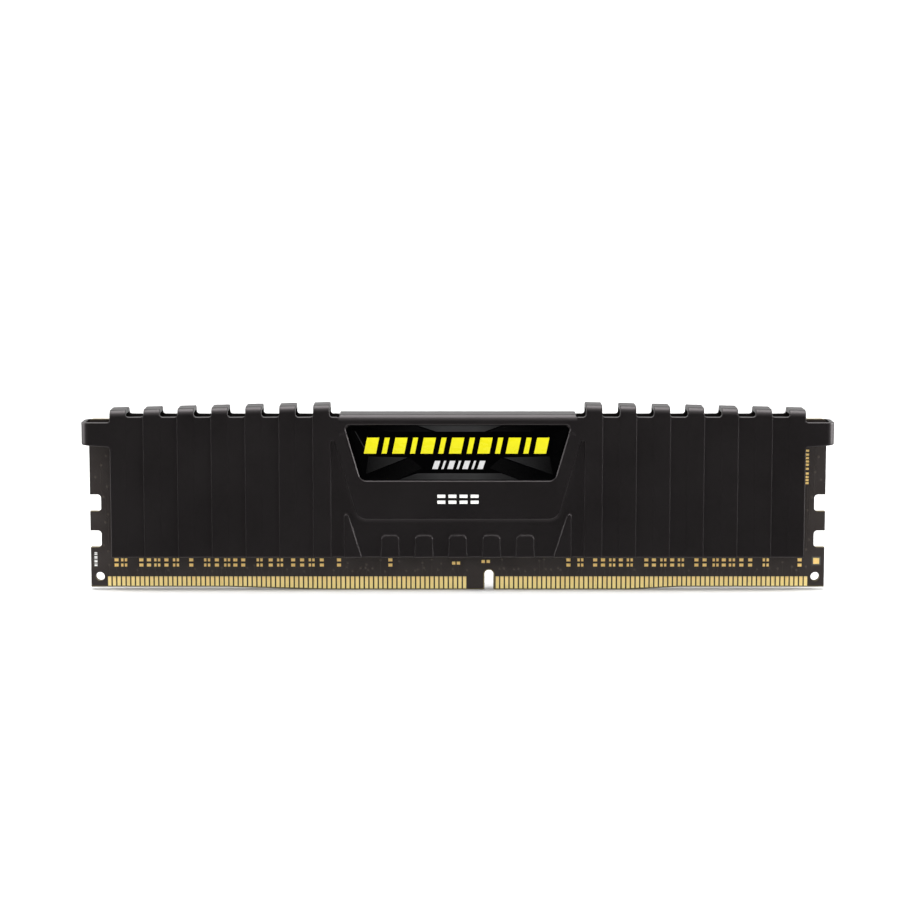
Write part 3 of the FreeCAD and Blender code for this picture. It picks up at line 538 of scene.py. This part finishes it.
def rows():
    r = [BOTTOM + d for d in (0, 0.02, 0.05, 0.10, 0.16, 0.35, 0.7, 1.1, 1.5, 1.9, 2.3, 2.7, 3.0)]
    r += list(np.arange(9.60, 10.25, 0.08))
    r += [10.26, 10.30, 10.33, 10.36, 10.39, 10.42, 10.45, 10.48, 10.53, 10.62, 10.78, 11.0, 11.25]
    r += [11.7, 12.1, 12.5, 12.7, 12.9, 13.05, 13.18, 13.27, 13.32, 13.35, 13.38, 13.41, 13.44, 13.47, 13.50, 13.54]
    r += list(np.arange(13.60, 14.62, 0.07))
    r += [14.72, 14.85, 15.0, 15.2]
    r += list(np.arange(15.6, 20.0, 0.5))
    r += [20.1, 20.18, 20.23, 20.26, 20.29, 20.32, 20.35, 20.38, 20.41, 20.44, 20.48, 20.54, 20.62, 20.72, 20.84, 20.98, 21.14, 21.34]
    r += list(np.arange(21.8, 26.0, 0.5))
    r += [26.45 + d for d in (0, 0.02, 0.05, 0.10, 0.16, 0.4, 0.65)]
    r += list(np.arange(27.2, 27.7, 0.1)) + [27.72, 27.76, 27.80, 27.84, 27.9, 28.0, 28.15, 28.4]
    r += [28.7, 29.0, 29.3, 29.5, 29.7, 29.85, 30.0, 30.1, 30.2, 30.3, 30.36, 30.40, 30.44, 30.47, 30.50, 30.53, 30.56, 30.60, 30.66, 30.74, 30.80, 30.85, 30.88, 30.9]
    r += [31.05, 31.2, 31.35, 31.5, 31.62, 31.74, 31.80, 31.85, 31.88, 31.9]
    return np.array(sorted(set(round(float(v), 4) for v in r)))


def fin_top(x):
    return 34.12 - 0.0250 * (abs(x) - RIB0)


def shell(name, rear, node):
    bar_top = BAR_TOP + 0.1
    R = rows()
    n_hook = 20
    mid = np.array([middle_columns(float(z)) for z in R])
    top = middle_columns(30.6)
    kb = int(np.argmin(np.abs(top - BAR_HALF)))
    for j, z in enumerate(R):
        pull = float(sstep((z - 28.0) / 1.5)) * (BAR_HALF - mid[j, kb])
        mid[j] += pull * np.clip(1 - np.abs(mid[j] - mid[j, kb]) / 0.9, 0, 1)
    top = mid[-1].copy()
    U = np.concatenate([top[:-1], outer_columns()])
    n_mid = len(top) - 1
    ncol = len(U)
    total = len(R) + n_hook
    arc0 = TAB_END - TAB_R
    outer = np.zeros((ncol, total, 3))
    inner = np.zeros((ncol, total, 3))
    # hook blend, top line
    hook = np.zeros(ncol)
    tops = np.full(ncol, 33.0)
    for i, u in enumerate(U):
        if u <= BAR_HALF + 1e-9:
            hook[i], tops[i] = 1.0, bar_top
            continue
        for a, b in FINS:
            if a - 1e-9 <= u <= b + 1e-9:
                hook[i], tops[i] = 1.0, fin_top(u)
        if hook[i] == 0 and u < EDGE:
            near = min([(abs(u - e), e) for f in FINS for e in f] + [(abs(u - BAR_HALF), BAR_HALF)])
            hook[i] = 1 - float(sstep(near[0] / 0.45))
            tops[i] = bar_top if near[1] == BAR_HALF else fin_top(near[1])

    def edge_z(u):
        """Height of the top rim between the fins, with rounded feet."""
        for a, b in GAPS:
            if a - 1e-9 <= u <= b + 1e-9:
                t = min(u - a, b - u)
                r = min(GAP_R, (b - a) / 2)
                if t < r:
                    return TOP + r - math.sqrt(max(r * r - (r - t) ** 2, 0.0))
        return TOP

    for i, u in enumerate(U):
        zt = tops[i] - HOOK_R
        s_end = zt + HOOK_R * math.pi / 2 + (RAISED - HOOK_R - LIP)
        ez = edge_z(u)
        s = R.copy()
        if ez > TOP:
            k = s > 31.3
            s[k] = 31.35 + (s[k] - 31.35) * (ez - 31.35) / (TOP - 31.35)
        lo_fix = TAB_LOW + 0.0667 * max(u - EDGE, 0)
        if u >= EDGE - 1e-9:
            t = u - EDGE
            q = 0.4 - math.sqrt(max(0.16 - (0.4 - t) ** 2, 0)) if t < 0.4 else 0.0
            zl, zh = lo_fix - q, TAB_HIGH + q
            k = (s >= TAB_LOW - 1e-6) & (s <= TAB_HIGH + 1e-6)
            if t > 1e-9:
                s[k] = zl + (s[k] - TAB_LOW) * (zh - zl) / (TAB_HIGH - TAB_LOW)
            else:
                s[np.abs(s - TAB_LOW) < 1e-6] = TAB_LOW - 0.38
                s[np.abs(s - TAB_HIGH) < 1e-6] = TAB_HIGH + 0.13
        lip_steps = np.array([0.16, 0.10, 0.05, 0.02, 0.0])
        hs = np.concatenate([np.linspace(s[-1], s_end - 0.16, n_hook - 4 + 1)[1:], s_end - lip_steps[1:]])
        S = np.concatenate([s, hs])
        x = np.full_like(S, u)
        if i < n_mid:
            x[:len(R)] = mid[:, i]
        # distance to the nearest rim, in the unrolled sheet
        dist = S - BOTTOM
        if u <= EDGE + 1e-9:
            if hook[i] == 1.0:
                dist = np.minimum(dist, s_end - S)
            for a, b in GAPS:
                half, c = (b - a) / 2, (a + b) / 2
                r = min(GAP_R, half)
                qx, qz = np.abs(x - c) - half + r, TOP + r - S
                sd = np.hypot(np.maximum(qx, 0), np.maximum(qz, 0)) + np.minimum(np.maximum(qx, qz), 0) - r
                dist = np.minimum(dist, np.maximum(sd, 0))
            side = EDGE - x
            on_tab = (S > TAB_LOW - 0.4) & (S < TAB_HIGH + 0.2)
            cut = rmax(side, S - TAB_LOW, 0.4)
            cut2 = rmax(side, TAB_HIGH - S, 0.13)
            dist = np.minimum(dist, np.maximum(np.minimum(cut, cut2), 0))
        else:
            dist = np.minimum(S - s[np.argmin(np.abs(R - TAB_LOW))], s[np.argmin(np.abs(R - TAB_HIGH))] - S)
            end = U[-1]
            dist = np.minimum(dist, end - u)
            if u - EDGE < 0.4:
                dist = np.minimum(dist, 9)
        dist = np.clip(dist, 0, None)
        rho = np.where(dist < RIM, RIM - np.sqrt(np.maximum(RIM ** 2 - (RIM - dist) ** 2, 0)), 0.0)
        # base surface and normal
        if u <= arc0 + 1e-9:
            phi = np.clip((S - zt) / HOOK_R, 0, math.pi / 2)
            over = np.maximum(S - zt - HOOK_R * math.pi / 2, 0)
            yc = -(RAISED - HOOK_R) - HOOK_R * np.cos(phi) + over
            zc = np.where(S > zt, zt + HOOK_R * np.sin(phi), S)
            flat_y = np.full_like(S, -RAISED)
            m = hook[i]
            yy = flat_y * (1 - m) + yc * m
            zz = S * (1 - m) + zc * m
            P = np.stack([x, yy, zz], 1)
            N = np.stack([np.zeros_like(S), -np.cos(phi * m), np.sin(phi * m)], 1)
            e = relief(x, np.where(S < 31.0, S, 31.0))
        else:
            th = min((u - arc0) / TAB_R, math.pi / 2)
            over = max(u - arc0 - TAB_R * math.pi / 2, 0)
            px = arc0 + TAB_R * math.sin(th)
            py = -(RAISED - TAB_R) - TAB_R * math.cos(th) + over
            P = np.stack([np.full_like(S, px), np.full_like(S, py), S], 1)
            N = np.tile(np.array([math.sin(th), -math.cos(th), 0.0]), (len(S), 1))
            e = np.zeros_like(S)
        P = P + N * e[:, None]
        outer[i] = P - N * rho[:, None]
        inner[i] = P - N * SHEET

    # which cells exist on the right half
    is_fin = np.zeros(ncol - 1, bool)
    for i in range(ncol - 1):
        half = (U[i] + U[i + 1]) / 2
        is_fin[i] = half < BAR_HALF or any(a < half < b for a, b in FINS)
    jl = int(np.argmin(np.abs(R - TAB_LOW)))
    jh = int(np.argmin(np.abs(R - TAB_HIGH)))
    cells = np.zeros((ncol - 1, total - 1), bool)
    for i in range(ncol - 1):
        if U[i + 1] <= EDGE + 1e-9:
            cells[i, :len(R) - 1] = True
            if is_fin[i]:
                cells[i, len(R) - 1:] = True
        else:
            cells[i, jl:jh] = True

    # both halves share the middle column
    index = {}
    verts = []

    def vid(layer, side, i, j):
        key = (layer, side if i else 0, i, j)
        if key not in index:
            p = (outer if layer == 0 else inner)[i, j].copy()
            if i and side < 0:
                p[0] = -p[0]
            index[key] = len(verts)
            verts.append(p)
        return index[key]

    faces = []
    edge_count = {}
    for side in (1, -1):
        for i in range(ncol - 1):
            for j in range(total - 1):
                if not cells[i, j]:
                    continue
                quad = [(i, j), (i + 1, j), (i + 1, j + 1), (i, j + 1)]
                if side < 0:
                    quad = quad[::-1]
                o = [vid(0, side, a, b) for a, b in quad]
                n = [vid(1, side, a, b) for a, b in quad]
                faces.append(tuple(o))
                faces.append(tuple(reversed(n)))
                for k in range(4):
                    e = (o[k], o[(k + 1) % 4])
                    r = (e[1], e[0])
                    if r in edge_count:
                        del edge_count[r]
                    else:
                        edge_count[e] = (n[k], n[(k + 1) % 4])
    for (a, b), (c, d) in edge_count.items():
        faces.append((b, a, c, d))
    verts = np.array(verts)
    if rear:
        verts[:, 0] *= -1
        verts[:, 1] *= -1
    obj = put(name, verts, faces, M["spreader"], (node,), smooth=None)
    obj.data.shade_smooth()
    obj.data.set_sharp_from_angle(angle=math.radians(42))
    return obj


front_shell = shell("spreader_front_shell", False, "heatspreader_front")
rear_shell = shell("spreader_rear_shell", True, "heatspreader_rear")


# ------------------------------------------------------------ name plate
def outline(half_top, half_low, z0, z1, radius, inset=0.0, steps=7):
    """Rounded trapezoid, counter-clockwise seen from the front, narrower below."""
    slope = (half_top - half_low) / (z1 - z0)
    k = math.hypot(1, slope)

    def half(z):
        return half_low + slope * (z - z0) - inset * k
    z0, z1 = z0 + inset, z1 - inset
    corners = [(-half(z0), z0), (half(z0), z0), (half(z1), z1), (-half(z1), z1)]
    r = max(radius - inset, 0.05)
    pts = []
    for i in range(4):
        p = np.array(corners[i])
        a = np.array(corners[i - 1]) - p
        b = np.array(corners[(i + 1) % 4]) - p
        a, b = a / np.linalg.norm(a), b / np.linalg.norm(b)
        ang = math.acos(float(a @ b))
        cut = r / math.tan(ang / 2)
        mid = (a + b) / np.linalg.norm(a + b)
        c = p + mid * (r / math.sin(ang / 2))
        v0, v1 = p + a * cut - c, p + b * cut - c
        a0, a1 = math.atan2(v0[1], v0[0]), math.atan2(v1[1], v1[0])
        while a1 < a0:
            a1 += 2 * math.pi
        for s in range(steps):
            t = a0 + (a1 - a0) * s / (steps - 1)
            pts.append((c[0] + r * math.cos(t), c[1] + r * math.sin(t)))
    return pts


def plate(name, rings, material, replaces=()):
    """Closed plate lofted through (outline, y) rings from its back to its front."""
    n = len(rings[0][0])
    verts, faces = [], []
    for pts, y in rings:
        verts += [(x, y, z) for x, z in pts]
    for k in range(len(rings) - 1):
        for i in range(n):
            j = (i + 1) % n
            faces.append((k * n + i, k * n + j, (k + 1) * n + j, (k + 1) * n + i))
    faces.append(tuple(range((len(rings) - 1) * n, len(rings) * n)))
    faces.append(tuple(reversed(range(n))))
    obj = put(name, verts, faces, material, replaces, smooth=None)
    fix_normals(obj)
    obj.data.shade_smooth()
    obj.data.set_sharp_from_angle(angle=math.radians(35))
    return obj


BADGE = (20.30, 17.36, 20.47, 30.38, 0.90)
DEEP = 0.055
badge_front = plate("badge_plate", [
    (outline(*BADGE), -3.10 + DEEP), (outline(*BADGE), -3.235 + DEEP),
    (outline(*BADGE, inset=0.018), -3.268 + DEEP), (outline(*BADGE, inset=0.06), -3.292 + DEEP), (outline(*BADGE, inset=0.11), -3.300 + DEEP),
], M["badge"], ("badge_front",))


def polygons(name, shapes, y_back, y_front, material, inset=0.02):
    """Thin inlays with a softened rim, one for each convex polygon of (x, z) points."""
    soup = Soup()
    for pts in shapes:
        pts = np.array(pts, float)
        area = 0.5 * np.sum(pts[:, 0] * np.roll(pts[:, 1], -1) - np.roll(pts[:, 0], -1) * pts[:, 1])
        if area < 0:
            pts = pts[::-1]
        n = len(pts)
        inner = []
        for i in range(n):
            a, p, b = pts[i - 1], pts[i], pts[(i + 1) % n]
            d0, d1 = (p - a) / np.linalg.norm(p - a), (b - p) / np.linalg.norm(b - p)
            n0, n1 = np.array([-d0[1], d0[0]]), np.array([-d1[1], d1[0]])
            m = n0 + n1
            m = m / np.linalg.norm(m)
            inner.append(p + m * inset / max(0.35, float(m @ n0)))
        mid = y_back + (y_front - y_back) * 0.6
        verts = [(x, y_back, z) for x, z in pts] + [(x, mid, z) for x, z in pts] + [(x, y_front, z) for x, z in inner]
        faces = []
        for k in (0, n):
            for i in range(n):
                j = (i + 1) % n
                faces.append((k + i, k + j, k + n + j, k + n + i))
        faces.append(tuple(range(2 * n, 3 * n)))
        faces.append(tuple(reversed(range(n))))
        if y_front > y_back:
            faces = [tuple(reversed(f)) for f in faces]
        soup.add(verts, faces)
    return put(name, soup.v, soup.f, material, smooth=30)


def bx(px):
    return (px - 457.3) / 5.55


def bz(py):
    return (592.7 - py) / 5.5


# facets of the plate drawn as flat polygons in greys: painted sheen, brightest in the middle, on the top and bottom
# facets; painted half shade and painted shade on the side and corner facets
F0, F1 = -3.296 + DEEP, -3.306 + DEEP
polygons("badge_facets_painted_sheen", [
    [(bx(417), bz(425.4)), (bx(501), bz(425.4)), (bx(484), bz(431.6)), (bx(436), bz(431.6))],
    [(bx(417), bz(473.2)), (bx(501), bz(473.2)), (bx(518), bz(479.6)), (bx(399), bz(479.6))],
], F0, F1, M["badge_painted_sheen"])
polygons("badge_facets_painted_half_shade", [
    [(bx(368), bz(456.4)), (bx(407), bz(457.4)), (bx(365.5), bz(474.0))],
    [(bx(503), bz(457.4)), (bx(549), bz(456.4)), (bx(552.5), bz(474.5))],
], F0, F1, M["badge_painted_half_shade"])
polygons("badge_facets_painted_shade", [
    [(bx(409.5), bz(457.8)), (bx(421.5), bz(468.0)), (bx(397), bz(479.4)), (bx(369.5), bz(479.4)), (bx(366), bz(475.6))],
    [(bx(500.5), bz(457.8)), (bx(552), bz(476.4)), (bx(549.5), bz(479.4)), (bx(521), bz(479.4)), (bx(489), bz(468.0))],
    [(bx(364), bz(425.4)), (bx(413.5), bz(425.4)), (bx(432), bz(431.6)), (bx(388), bz(431.6))],
    [(bx(504.5), bz(425.4)), (bx(549), bz(425.4)), (bx(530), bz(431.6)), (bx(487.5), bz(431.6))],
    [(bx(349), bz(428)), (bx(354.5), bz(432.0)), (bx(367), bz(456.0)), (bx(363.3), bz(472.0))],
    [(bx(553.5), bz(434)), (bx(566.5), bz(428)), (bx(556), bz(470.0)), (bx(551), bz(455.6))],
], F0, F1, M["badge_painted_shade"])
# painted glint: a thin light line along the edge between two left-hand facets
polygons("badge_painted_glint_line", [
    [(bx(354.6), bz(431.6)), (bx(355.6), bz(431.6)), (bx(368.6), bz(454.8)), (bx(367.4), bz(454.8))],
], F0, F1 - 0.003, M["badge_painted_sheen"], inset=0.01)

# generic slanted bars where the real plate carries its marks
bars = []
x, low, high = -16.9, 25.30, 28.20
for w in (2.2, 0.9, 2.2, 0.9, 2.2, 0.9, 2.2, 0.9, 2.2, 0.9, 2.2, 0.9, 2.2):
    bars.append([(x, low), (x + w, low), (x + w + 0.6, high), (x + 0.6, high)])
    x += w + 1.0
polygons("badge_bars_yellow", bars, -3.296 + DEEP, -3.312 + DEEP, M["badge_yellow"], inset=0.03)
bars = []
x, low, high = -4.6, 22.50, 24.0
for w in (1.0, 0.4, 1.0, 0.4, 1.0, 0.4, 1.0):
    bars.append([(x, low), (x + w, low), (x + w + 0.5, high), (x + 0.5, high)])
    x += w + 0.65
polygons("badge_bar_silver", bars, -3.296 + DEEP, -3.312 + DEEP, M["badge_silver"], inset=0.02)

# small printed blocks under the plate
ink = Soup()
for c in (-2.95, -0.95, 1.05, 3.05):
    ink.block(c - 0.72, c + 0.72, 16.20, 16.78, -RAISED + 0.004, -RAISED - 0.010, 0.03)
    ink.block(c - 0.72, c + 0.72, 17.28, 17.86, -RAISED + 0.004, -RAISED - 0.010, 0.03)
put("face_print_blocks", ink.v, ink.f, M["ink"], smooth=30)


# ----------------------------------------------------- rear information film
film = plate("label_film_rear", [
    ([(-x, z) for x, z in outline(16.5, 16.5, 20.62, 30.23, 0.6)], 3.100),
    ([(-x, z) for x, z in outline(16.5, 16.5, 20.62, 30.23, 0.6)], 3.180),
    ([(-x, z) for x, z in outline(16.5, 16.5, 20.62, 30.23, 0.6, inset=0.02)], 3.200),
], M["label"], ("label_rear",))
marks = Soup()
y0, y1 = 3.196, 3.206
for row, (z, parts) in enumerate((
    (28.55, ((-15.2, -8.6), (-7.9, -3.1))), (27.35, ((-15.2, -11.0), (-10.4, -6.2), (-5.6, -4.4))),
    (26.15, ((-15.2, -5.4),)), (24.95, ((-15.2, -12.2), (-11.6, -7.0))), (23.0, ((-15.2, -9.4), (-8.8, -7.4))),
    (21.8, ((-15.2, -6.1),)),
)):
    for a, b in parts:
        marks.block(-b, -a, z, z + 0.62, y0, y1, 0.02)
xb = -13.9
local = np.random.default_rng(11)
while xb < 0.9:
    w = float(local.choice([0.14, 0.22, 0.32, 0.46]))
    marks.block(xb, xb + w, 22.2, 25.6, y0, y1, 0.015)
    xb += w + float(local.choice([0.16, 0.24, 0.34]))
for a, b, c, d in ((-14.2, -9.6, 27.0, 29.2), (-8.9, -7.0, 27.0, 29.2)):
    marks.block(a, b, c, c + 0.16, y0, y1, 0.015)
    marks.block(a, b, d - 0.16, d, y0, y1, 0.015)
    marks.block(a, a + 0.16, c + 0.16, d - 0.16, y0, y1, 0.015)
    marks.block(b - 0.16, b, c + 0.16, d - 0.16, y0, y1, 0.015)
put("label_print_rear", marks.v, marks.f, M["label_ink"], smooth=30)


# ----------------------------------------------- tracks, vias, print on card
def islands(node, gap=0.12):
    """Boxes of the separate solids in a CAD node, in millimetres."""
    mesh = nodes[node].data
    co = np.array([v.co for v in mesh.vertices]) / MM
    parent = list(range(len(co)))

    def find(i):
        while parent[i] != i:
            parent[i] = parent[parent[i]]
            i = parent[i]
        return i
    key = {}
    for i, p in enumerate(np.round(co, 3)):
        k = tuple(p)
        if k in key:
            parent[find(i)] = find(key[k])
        else:
            key[k] = i
    for e in mesh.edges:
        a, b = find(e.vertices[0]), find(e.vertices[1])
        if a != b:
            parent[a] = b
    groups = {}
    for i in range(len(co)):
        groups.setdefault(find(i), []).append(i)
    out = []
    for g in groups.values():
        c = co[g]
        out.append((c.min(0), c.max(0)))
    return sorted(out, key=lambda b: (b[0][0], b[0][2]))


contact_boxes = islands("contacts_front_left") + islands("contacts_front_right")
pad_boxes = islands("test_pads_front")
contact_x = [float((a[0] + b[0]) / 2) for a, b in contact_boxes]
local = np.random.default_rng(23)
tracks, vias = Soup(), Soup()
YB, YT = -FACE + 0.004, -FACE - 0.014
low_pads = [(float((a[0] + b[0]) / 2), float(a[2])) for a, b in pad_boxes if b[2] < 5.2]
for px, pz in low_pads:
    target = min(contact_x, key=lambda c: abs(c - px))
    d = target - px
    zj = 3.85 - local.random() * 0.5
    pts = [(px, pz - 0.02), (px, zj)]
    if abs(d) > 0.03:
        pts.append((target, zj - abs(d)))
    pts.append((target, 2.45))
    if pts[-2][1] > 2.6:
        tracks.ribbon(pts, 0.11, YB, YT)
for cx in contact_x:
    near = min(abs(cx - p) for p, _ in low_pads)
    if near < 0.55:
        continue
    t = local.random()
    if t < 0.45:
        side = 1 if local.random() < 0.5 else -1
        z1 = 3.0 + local.random() * 0.5
        run = 0.25 + local.random() * 0.45
        if 5.7 - 1.6 < cx + side * run < 5.7 + 1.6:
            continue
        tracks.ribbon([(cx, 2.45), (cx, z1), (cx + side * run, z1 + run)], 0.11, YB, YT)
        vias.disc(cx + side * run, z1 + run + 0.1, 0.23, YB, -FACE - 0.02)
    elif t < 0.8:
        z1 = 3.3 + local.random() * 2.3
        tracks.ribbon([(cx, 2.45), (cx, z1)], 0.11, YB, YT)
        vias.disc(cx, z1 + 0.1, 0.23, YB, -FACE - 0.02)
# side strips of the card
for side, spots in ((-1, ((63.6, 24.6), (64.5, 22.9), (65.6, 20.7), (63.5, 19.0), (64.2, 17.1), (63.4, 13.9), (63.9, 12.4), (64.3, 8.2), (63.5, 7.1))),
                    (1, ((65.3, 24.4), (64.7, 21.6), (65.8, 20.2), (64.2, 17.0), (63.4, 14.6), (63.8, 9.2), (63.3, 7.4)))):
    for cx, cz in spots:
        vias.disc(side * cx, cz, 0.25, YB, -FACE - 0.02)
        vias.disc(side * cx, cz, 0.25, FACE - 0.004, FACE + 0.02)
    for k, (x0, z0, z1) in enumerate(((63.35, 7.5, 13.2), (63.35, 14.4, 18.7), (63.8, 12.9, 16.8), (64.6, 17.6, 22.6))):
        pts = [(side * x0, z0), (side * x0, z1), (side * (x0 + 0.35), z1 + 0.35)]
        tracks.ribbon(pts, 0.11, YB, YT)
        tracks.ribbon(pts, 0.11, FACE - 0.004, FACE + 0.014)
put("card_tracks", tracks.v, tracks.f, M["trace"], smooth=30)
put("card_vias", vias.v, vias.f, M["via"], smooth=40)

# window in the mask round the fiducial, and four plain printed blocks at the other end
window = Soup()
window.block(64.40, 66.00, 4.50, 6.10, YB, -FACE - 0.006, 0.01)
put("fiducial_window", window.v, window.f, M["window"], smooth=30)
printed = Soup()
for z in (4.35, 5.05, 5.75, 6.45):
    printed.block(-66.05, -65.50, z, z + 0.20, YB, -FACE - 0.014, 0.015)
    printed.block(-66.05, -65.50, z + 0.30, z + 0.44, YB, -FACE - 0.014, 0.015)
put("card_print_blocks", printed.v, printed.f, M["ink"], smooth=30)

# ----------------------------------------------------- materials of CAD nodes
FINISH = (
    ("pcb", "board", "board_laminate"), ("contacts", "gold", "gold_plating"),
    ("test_pads_front", "gold_pad", "gold_plating"), ("edge_pads_front", "gold_pad", "gold_plating"),
    ("fiducial_front", "gold_pad", "gold_plating"), ("dram_package", "epoxy", "package_epoxy"),
    ("spd_eeprom", "epoxy", "package_epoxy"), ("dram_solder_balls", "solder", "solder"),
    ("decoupling_capacitors", "capacitor", "capacitor_ceramic"), ("capacitor_terminals", "solder", "solder"),
    ("line_resistors", "resistor", "resistor_ceramic"), ("resistor_terminals", "solder", "solder"),
    ("thermal_pad", "pad", "pad_elastomer"),
)
for node_name, node_obj in nodes.items():
    for key, mat, slot_name in FINISH:
        if node_name.startswith(key):
            node_obj.data.materials.clear()
            node_obj.data.materials.append(M[mat])
            break

# ------------------------------------------------------- floor, camera, light
def stage_material(name, low, high):
    m = Nodes(name)
    m.set(Specular_IOR_Level=0.1)
    cloud = m.noise(6, 3, 0.5)
    m.color(m.mix(cloud, low, high))
    m.roughness(m.range(cloud, 0.3, 0.7, 0.78, 0.86))
    return m.mat


def sweep_floor():
    """Pale sheet: flat under the part, curving up far behind it."""
    prof = [(-1.6, 0.0), (0.45, 0.0)]
    R0 = 0.5
    for k in range(1, 17):
        a = math.pi / 2 * k / 16
        prof.append((0.45 + R0 * math.sin(a), R0 - R0 * math.cos(a)))
    prof.append((0.95, 1.9))
    xs = np.linspace(-2.2, 2.2, 9)
    verts = [(x, y, z) for y, z in prof for x in xs]
    n = len(xs)
    faces = [(j * n + i, j * n + i + 1, (j + 1) * n + i + 1, (j + 1) * n + i) for j in range(len(prof) - 1) for i in range(n - 1)]
    mesh = bpy.data.meshes.new("floor")
    mesh.from_pydata(verts, [], faces)
    mesh.materials.append(stage_material("floor_paper", (0.60, 0.60, 0.60), (0.62, 0.62, 0.62)))
    mesh.shade_smooth()
    obj = bpy.data.objects.new("floor", mesh)
    bpy.context.scene.collection.objects.link(obj)
    obj.visible_glossy = False


sweep_floor()

world = bpy.data.worlds.new("studio")
bpy.context.scene.world = world
world.use_nodes = True
wt = world.node_tree
wt.nodes.clear()
w_out = wt.nodes.new("ShaderNodeOutputWorld")
w_mix = wt.nodes.new("ShaderNodeMixShader")
w_dim = wt.nodes.new("ShaderNodeBackground")
w_white = wt.nodes.new("ShaderNodeBackground")
w_path = wt.nodes.new("ShaderNodeLightPath")
w_coord = wt.nodes.new("ShaderNodeTexCoord")
w_split = wt.nodes.new("ShaderNodeSeparateXYZ")
w_ramp = wt.nodes.new("ShaderNodeValToRGB")
w_range = wt.nodes.new("ShaderNodeMapRange")
w_range.inputs["From Min"].default_value = -1.0
wt.links.new(w_coord.outputs["Generated"], w_split.inputs["Vector"])
wt.links.new(w_split.outputs["Z"], w_range.inputs["Value"])
wt.links.new(w_range.outputs["Result"], w_ramp.inputs["Fac"])
stops = w_ramp.color_ramp.elements
stops[0].position, stops[0].color = 0.0, (1.8, 1.78, 1.76, 1)
stops[1].position, stops[1].color = 1.0, (1.6, 1.6, 1.6, 1)
for pos, v in ((0.20, 1.4), (0.33, 0.20), (0.42, 0.038), (0.60, 0.045), (0.68, 0.4), (0.76, 1.1)):
    stops.new(pos).color = (v, v * 0.99, v * 0.98, 1)
w_back = wt.nodes.new("ShaderNodeMapRange")
w_back.inputs["From Min"].default_value = 0.25
w_back.inputs["From Max"].default_value = 0.75
w_low = wt.nodes.new("ShaderNodeMapRange")
w_low.inputs["From Min"].default_value = 0.55
w_low.inputs["From Max"].default_value = 0.30
w_both = wt.nodes.new("ShaderNodeMath")
w_both.operation = "MULTIPLY"
w_add = wt.nodes.new("ShaderNodeMix")
w_add.data_type = "RGBA"
w_add.inputs["B"].default_value = (1.0, 1.0, 1.0, 1)
wt.links.new(w_split.outputs["Y"], w_back.inputs["Value"])
wt.links.new(w_split.outputs["Z"], w_low.inputs["Value"])
wt.links.new(w_back.outputs["Result"], w_both.inputs[0])
wt.links.new(w_low.outputs["Result"], w_both.inputs[1])
wt.links.new(w_both.outputs[0], w_add.inputs["Factor"])
wt.links.new(w_ramp.outputs["Color"], w_add.inputs["A"])
wt.links.new(w_add.outputs["Result"], w_dim.inputs["Color"])
w_dim.inputs["Strength"].default_value = 1.0
w_white.inputs["Color"].default_value = (1, 1, 1, 1)
w_white.inputs["Strength"].default_value = 1.0
wt.links.new(w_path.outputs["Is Camera Ray"], w_mix.inputs[0])
wt.links.new(w_dim.outputs[0], w_mix.inputs[1])
wt.links.new(w_white.outputs[0], w_mix.inputs[2])
wt.links.new(w_mix.outputs[0], w_out.inputs["Surface"])


def softbox(name, place, target, size, radiance, color=(1, 1, 1)):
    """Rectangular light of a given brightness per area, so that its size only changes softness."""
    data = bpy.data.lights.new(name, "AREA")
    data.shape = "RECTANGLE"
    data.size, data.size_y = size
    data.energy = radiance * math.pi * size[0] * size[1]
    data.color = color
    obj = bpy.data.objects.new(name, data)
    bpy.context.scene.collection.objects.link(obj)
    obj.location = place
    d = Vector(target) - Vector(place)
    obj.rotation_euler = d.to_track_quat("-Z", "Y").to_euler()
    return obj


over = bpy.data.lights.new("overhead", "SUN")
over.energy = 3.7
over.angle = math.radians(50)
over_obj = bpy.data.objects.new("overhead", over)
bpy.context.scene.collection.objects.link(over_obj)
over_obj.rotation_euler = (0.0, 0.0, 0.0)
softbox("left_light", (-0.9, 0.0, 0.16), (0, 0, 0.02), (0.5, 0.36), 16.0)
softbox("right_light", (0.9, 0.0, 0.16), (0, 0, 0.02), (0.5, 0.36), 26.0)

cam_data = bpy.data.cameras.new("camera")
cam_data.sensor_width = 36.0
cam_data.lens = 104.0
cam_data.clip_start = 0.01
cam_data.clip_end = 20
cam = bpy.data.objects.new("camera", cam_data)
bpy.context.scene.collection.objects.link(cam)
PITCH_DOWN = math.radians(7.2)
DIST = 0.471
aim = Vector((-0.00139, 0.0, 0.02555))
back = Vector((0.0, -math.cos(PITCH_DOWN), math.sin(PITCH_DOWN)))
cam.location = aim + back * DIST
cam.rotation_euler = (math.pi / 2 - PITCH_DOWN, 0.0, 0.0)
bpy.context.scene.camera = cam
bpy.context.scene.view_settings.view_transform = "Standard"
bpy.context.scene.view_settings.look = "None"
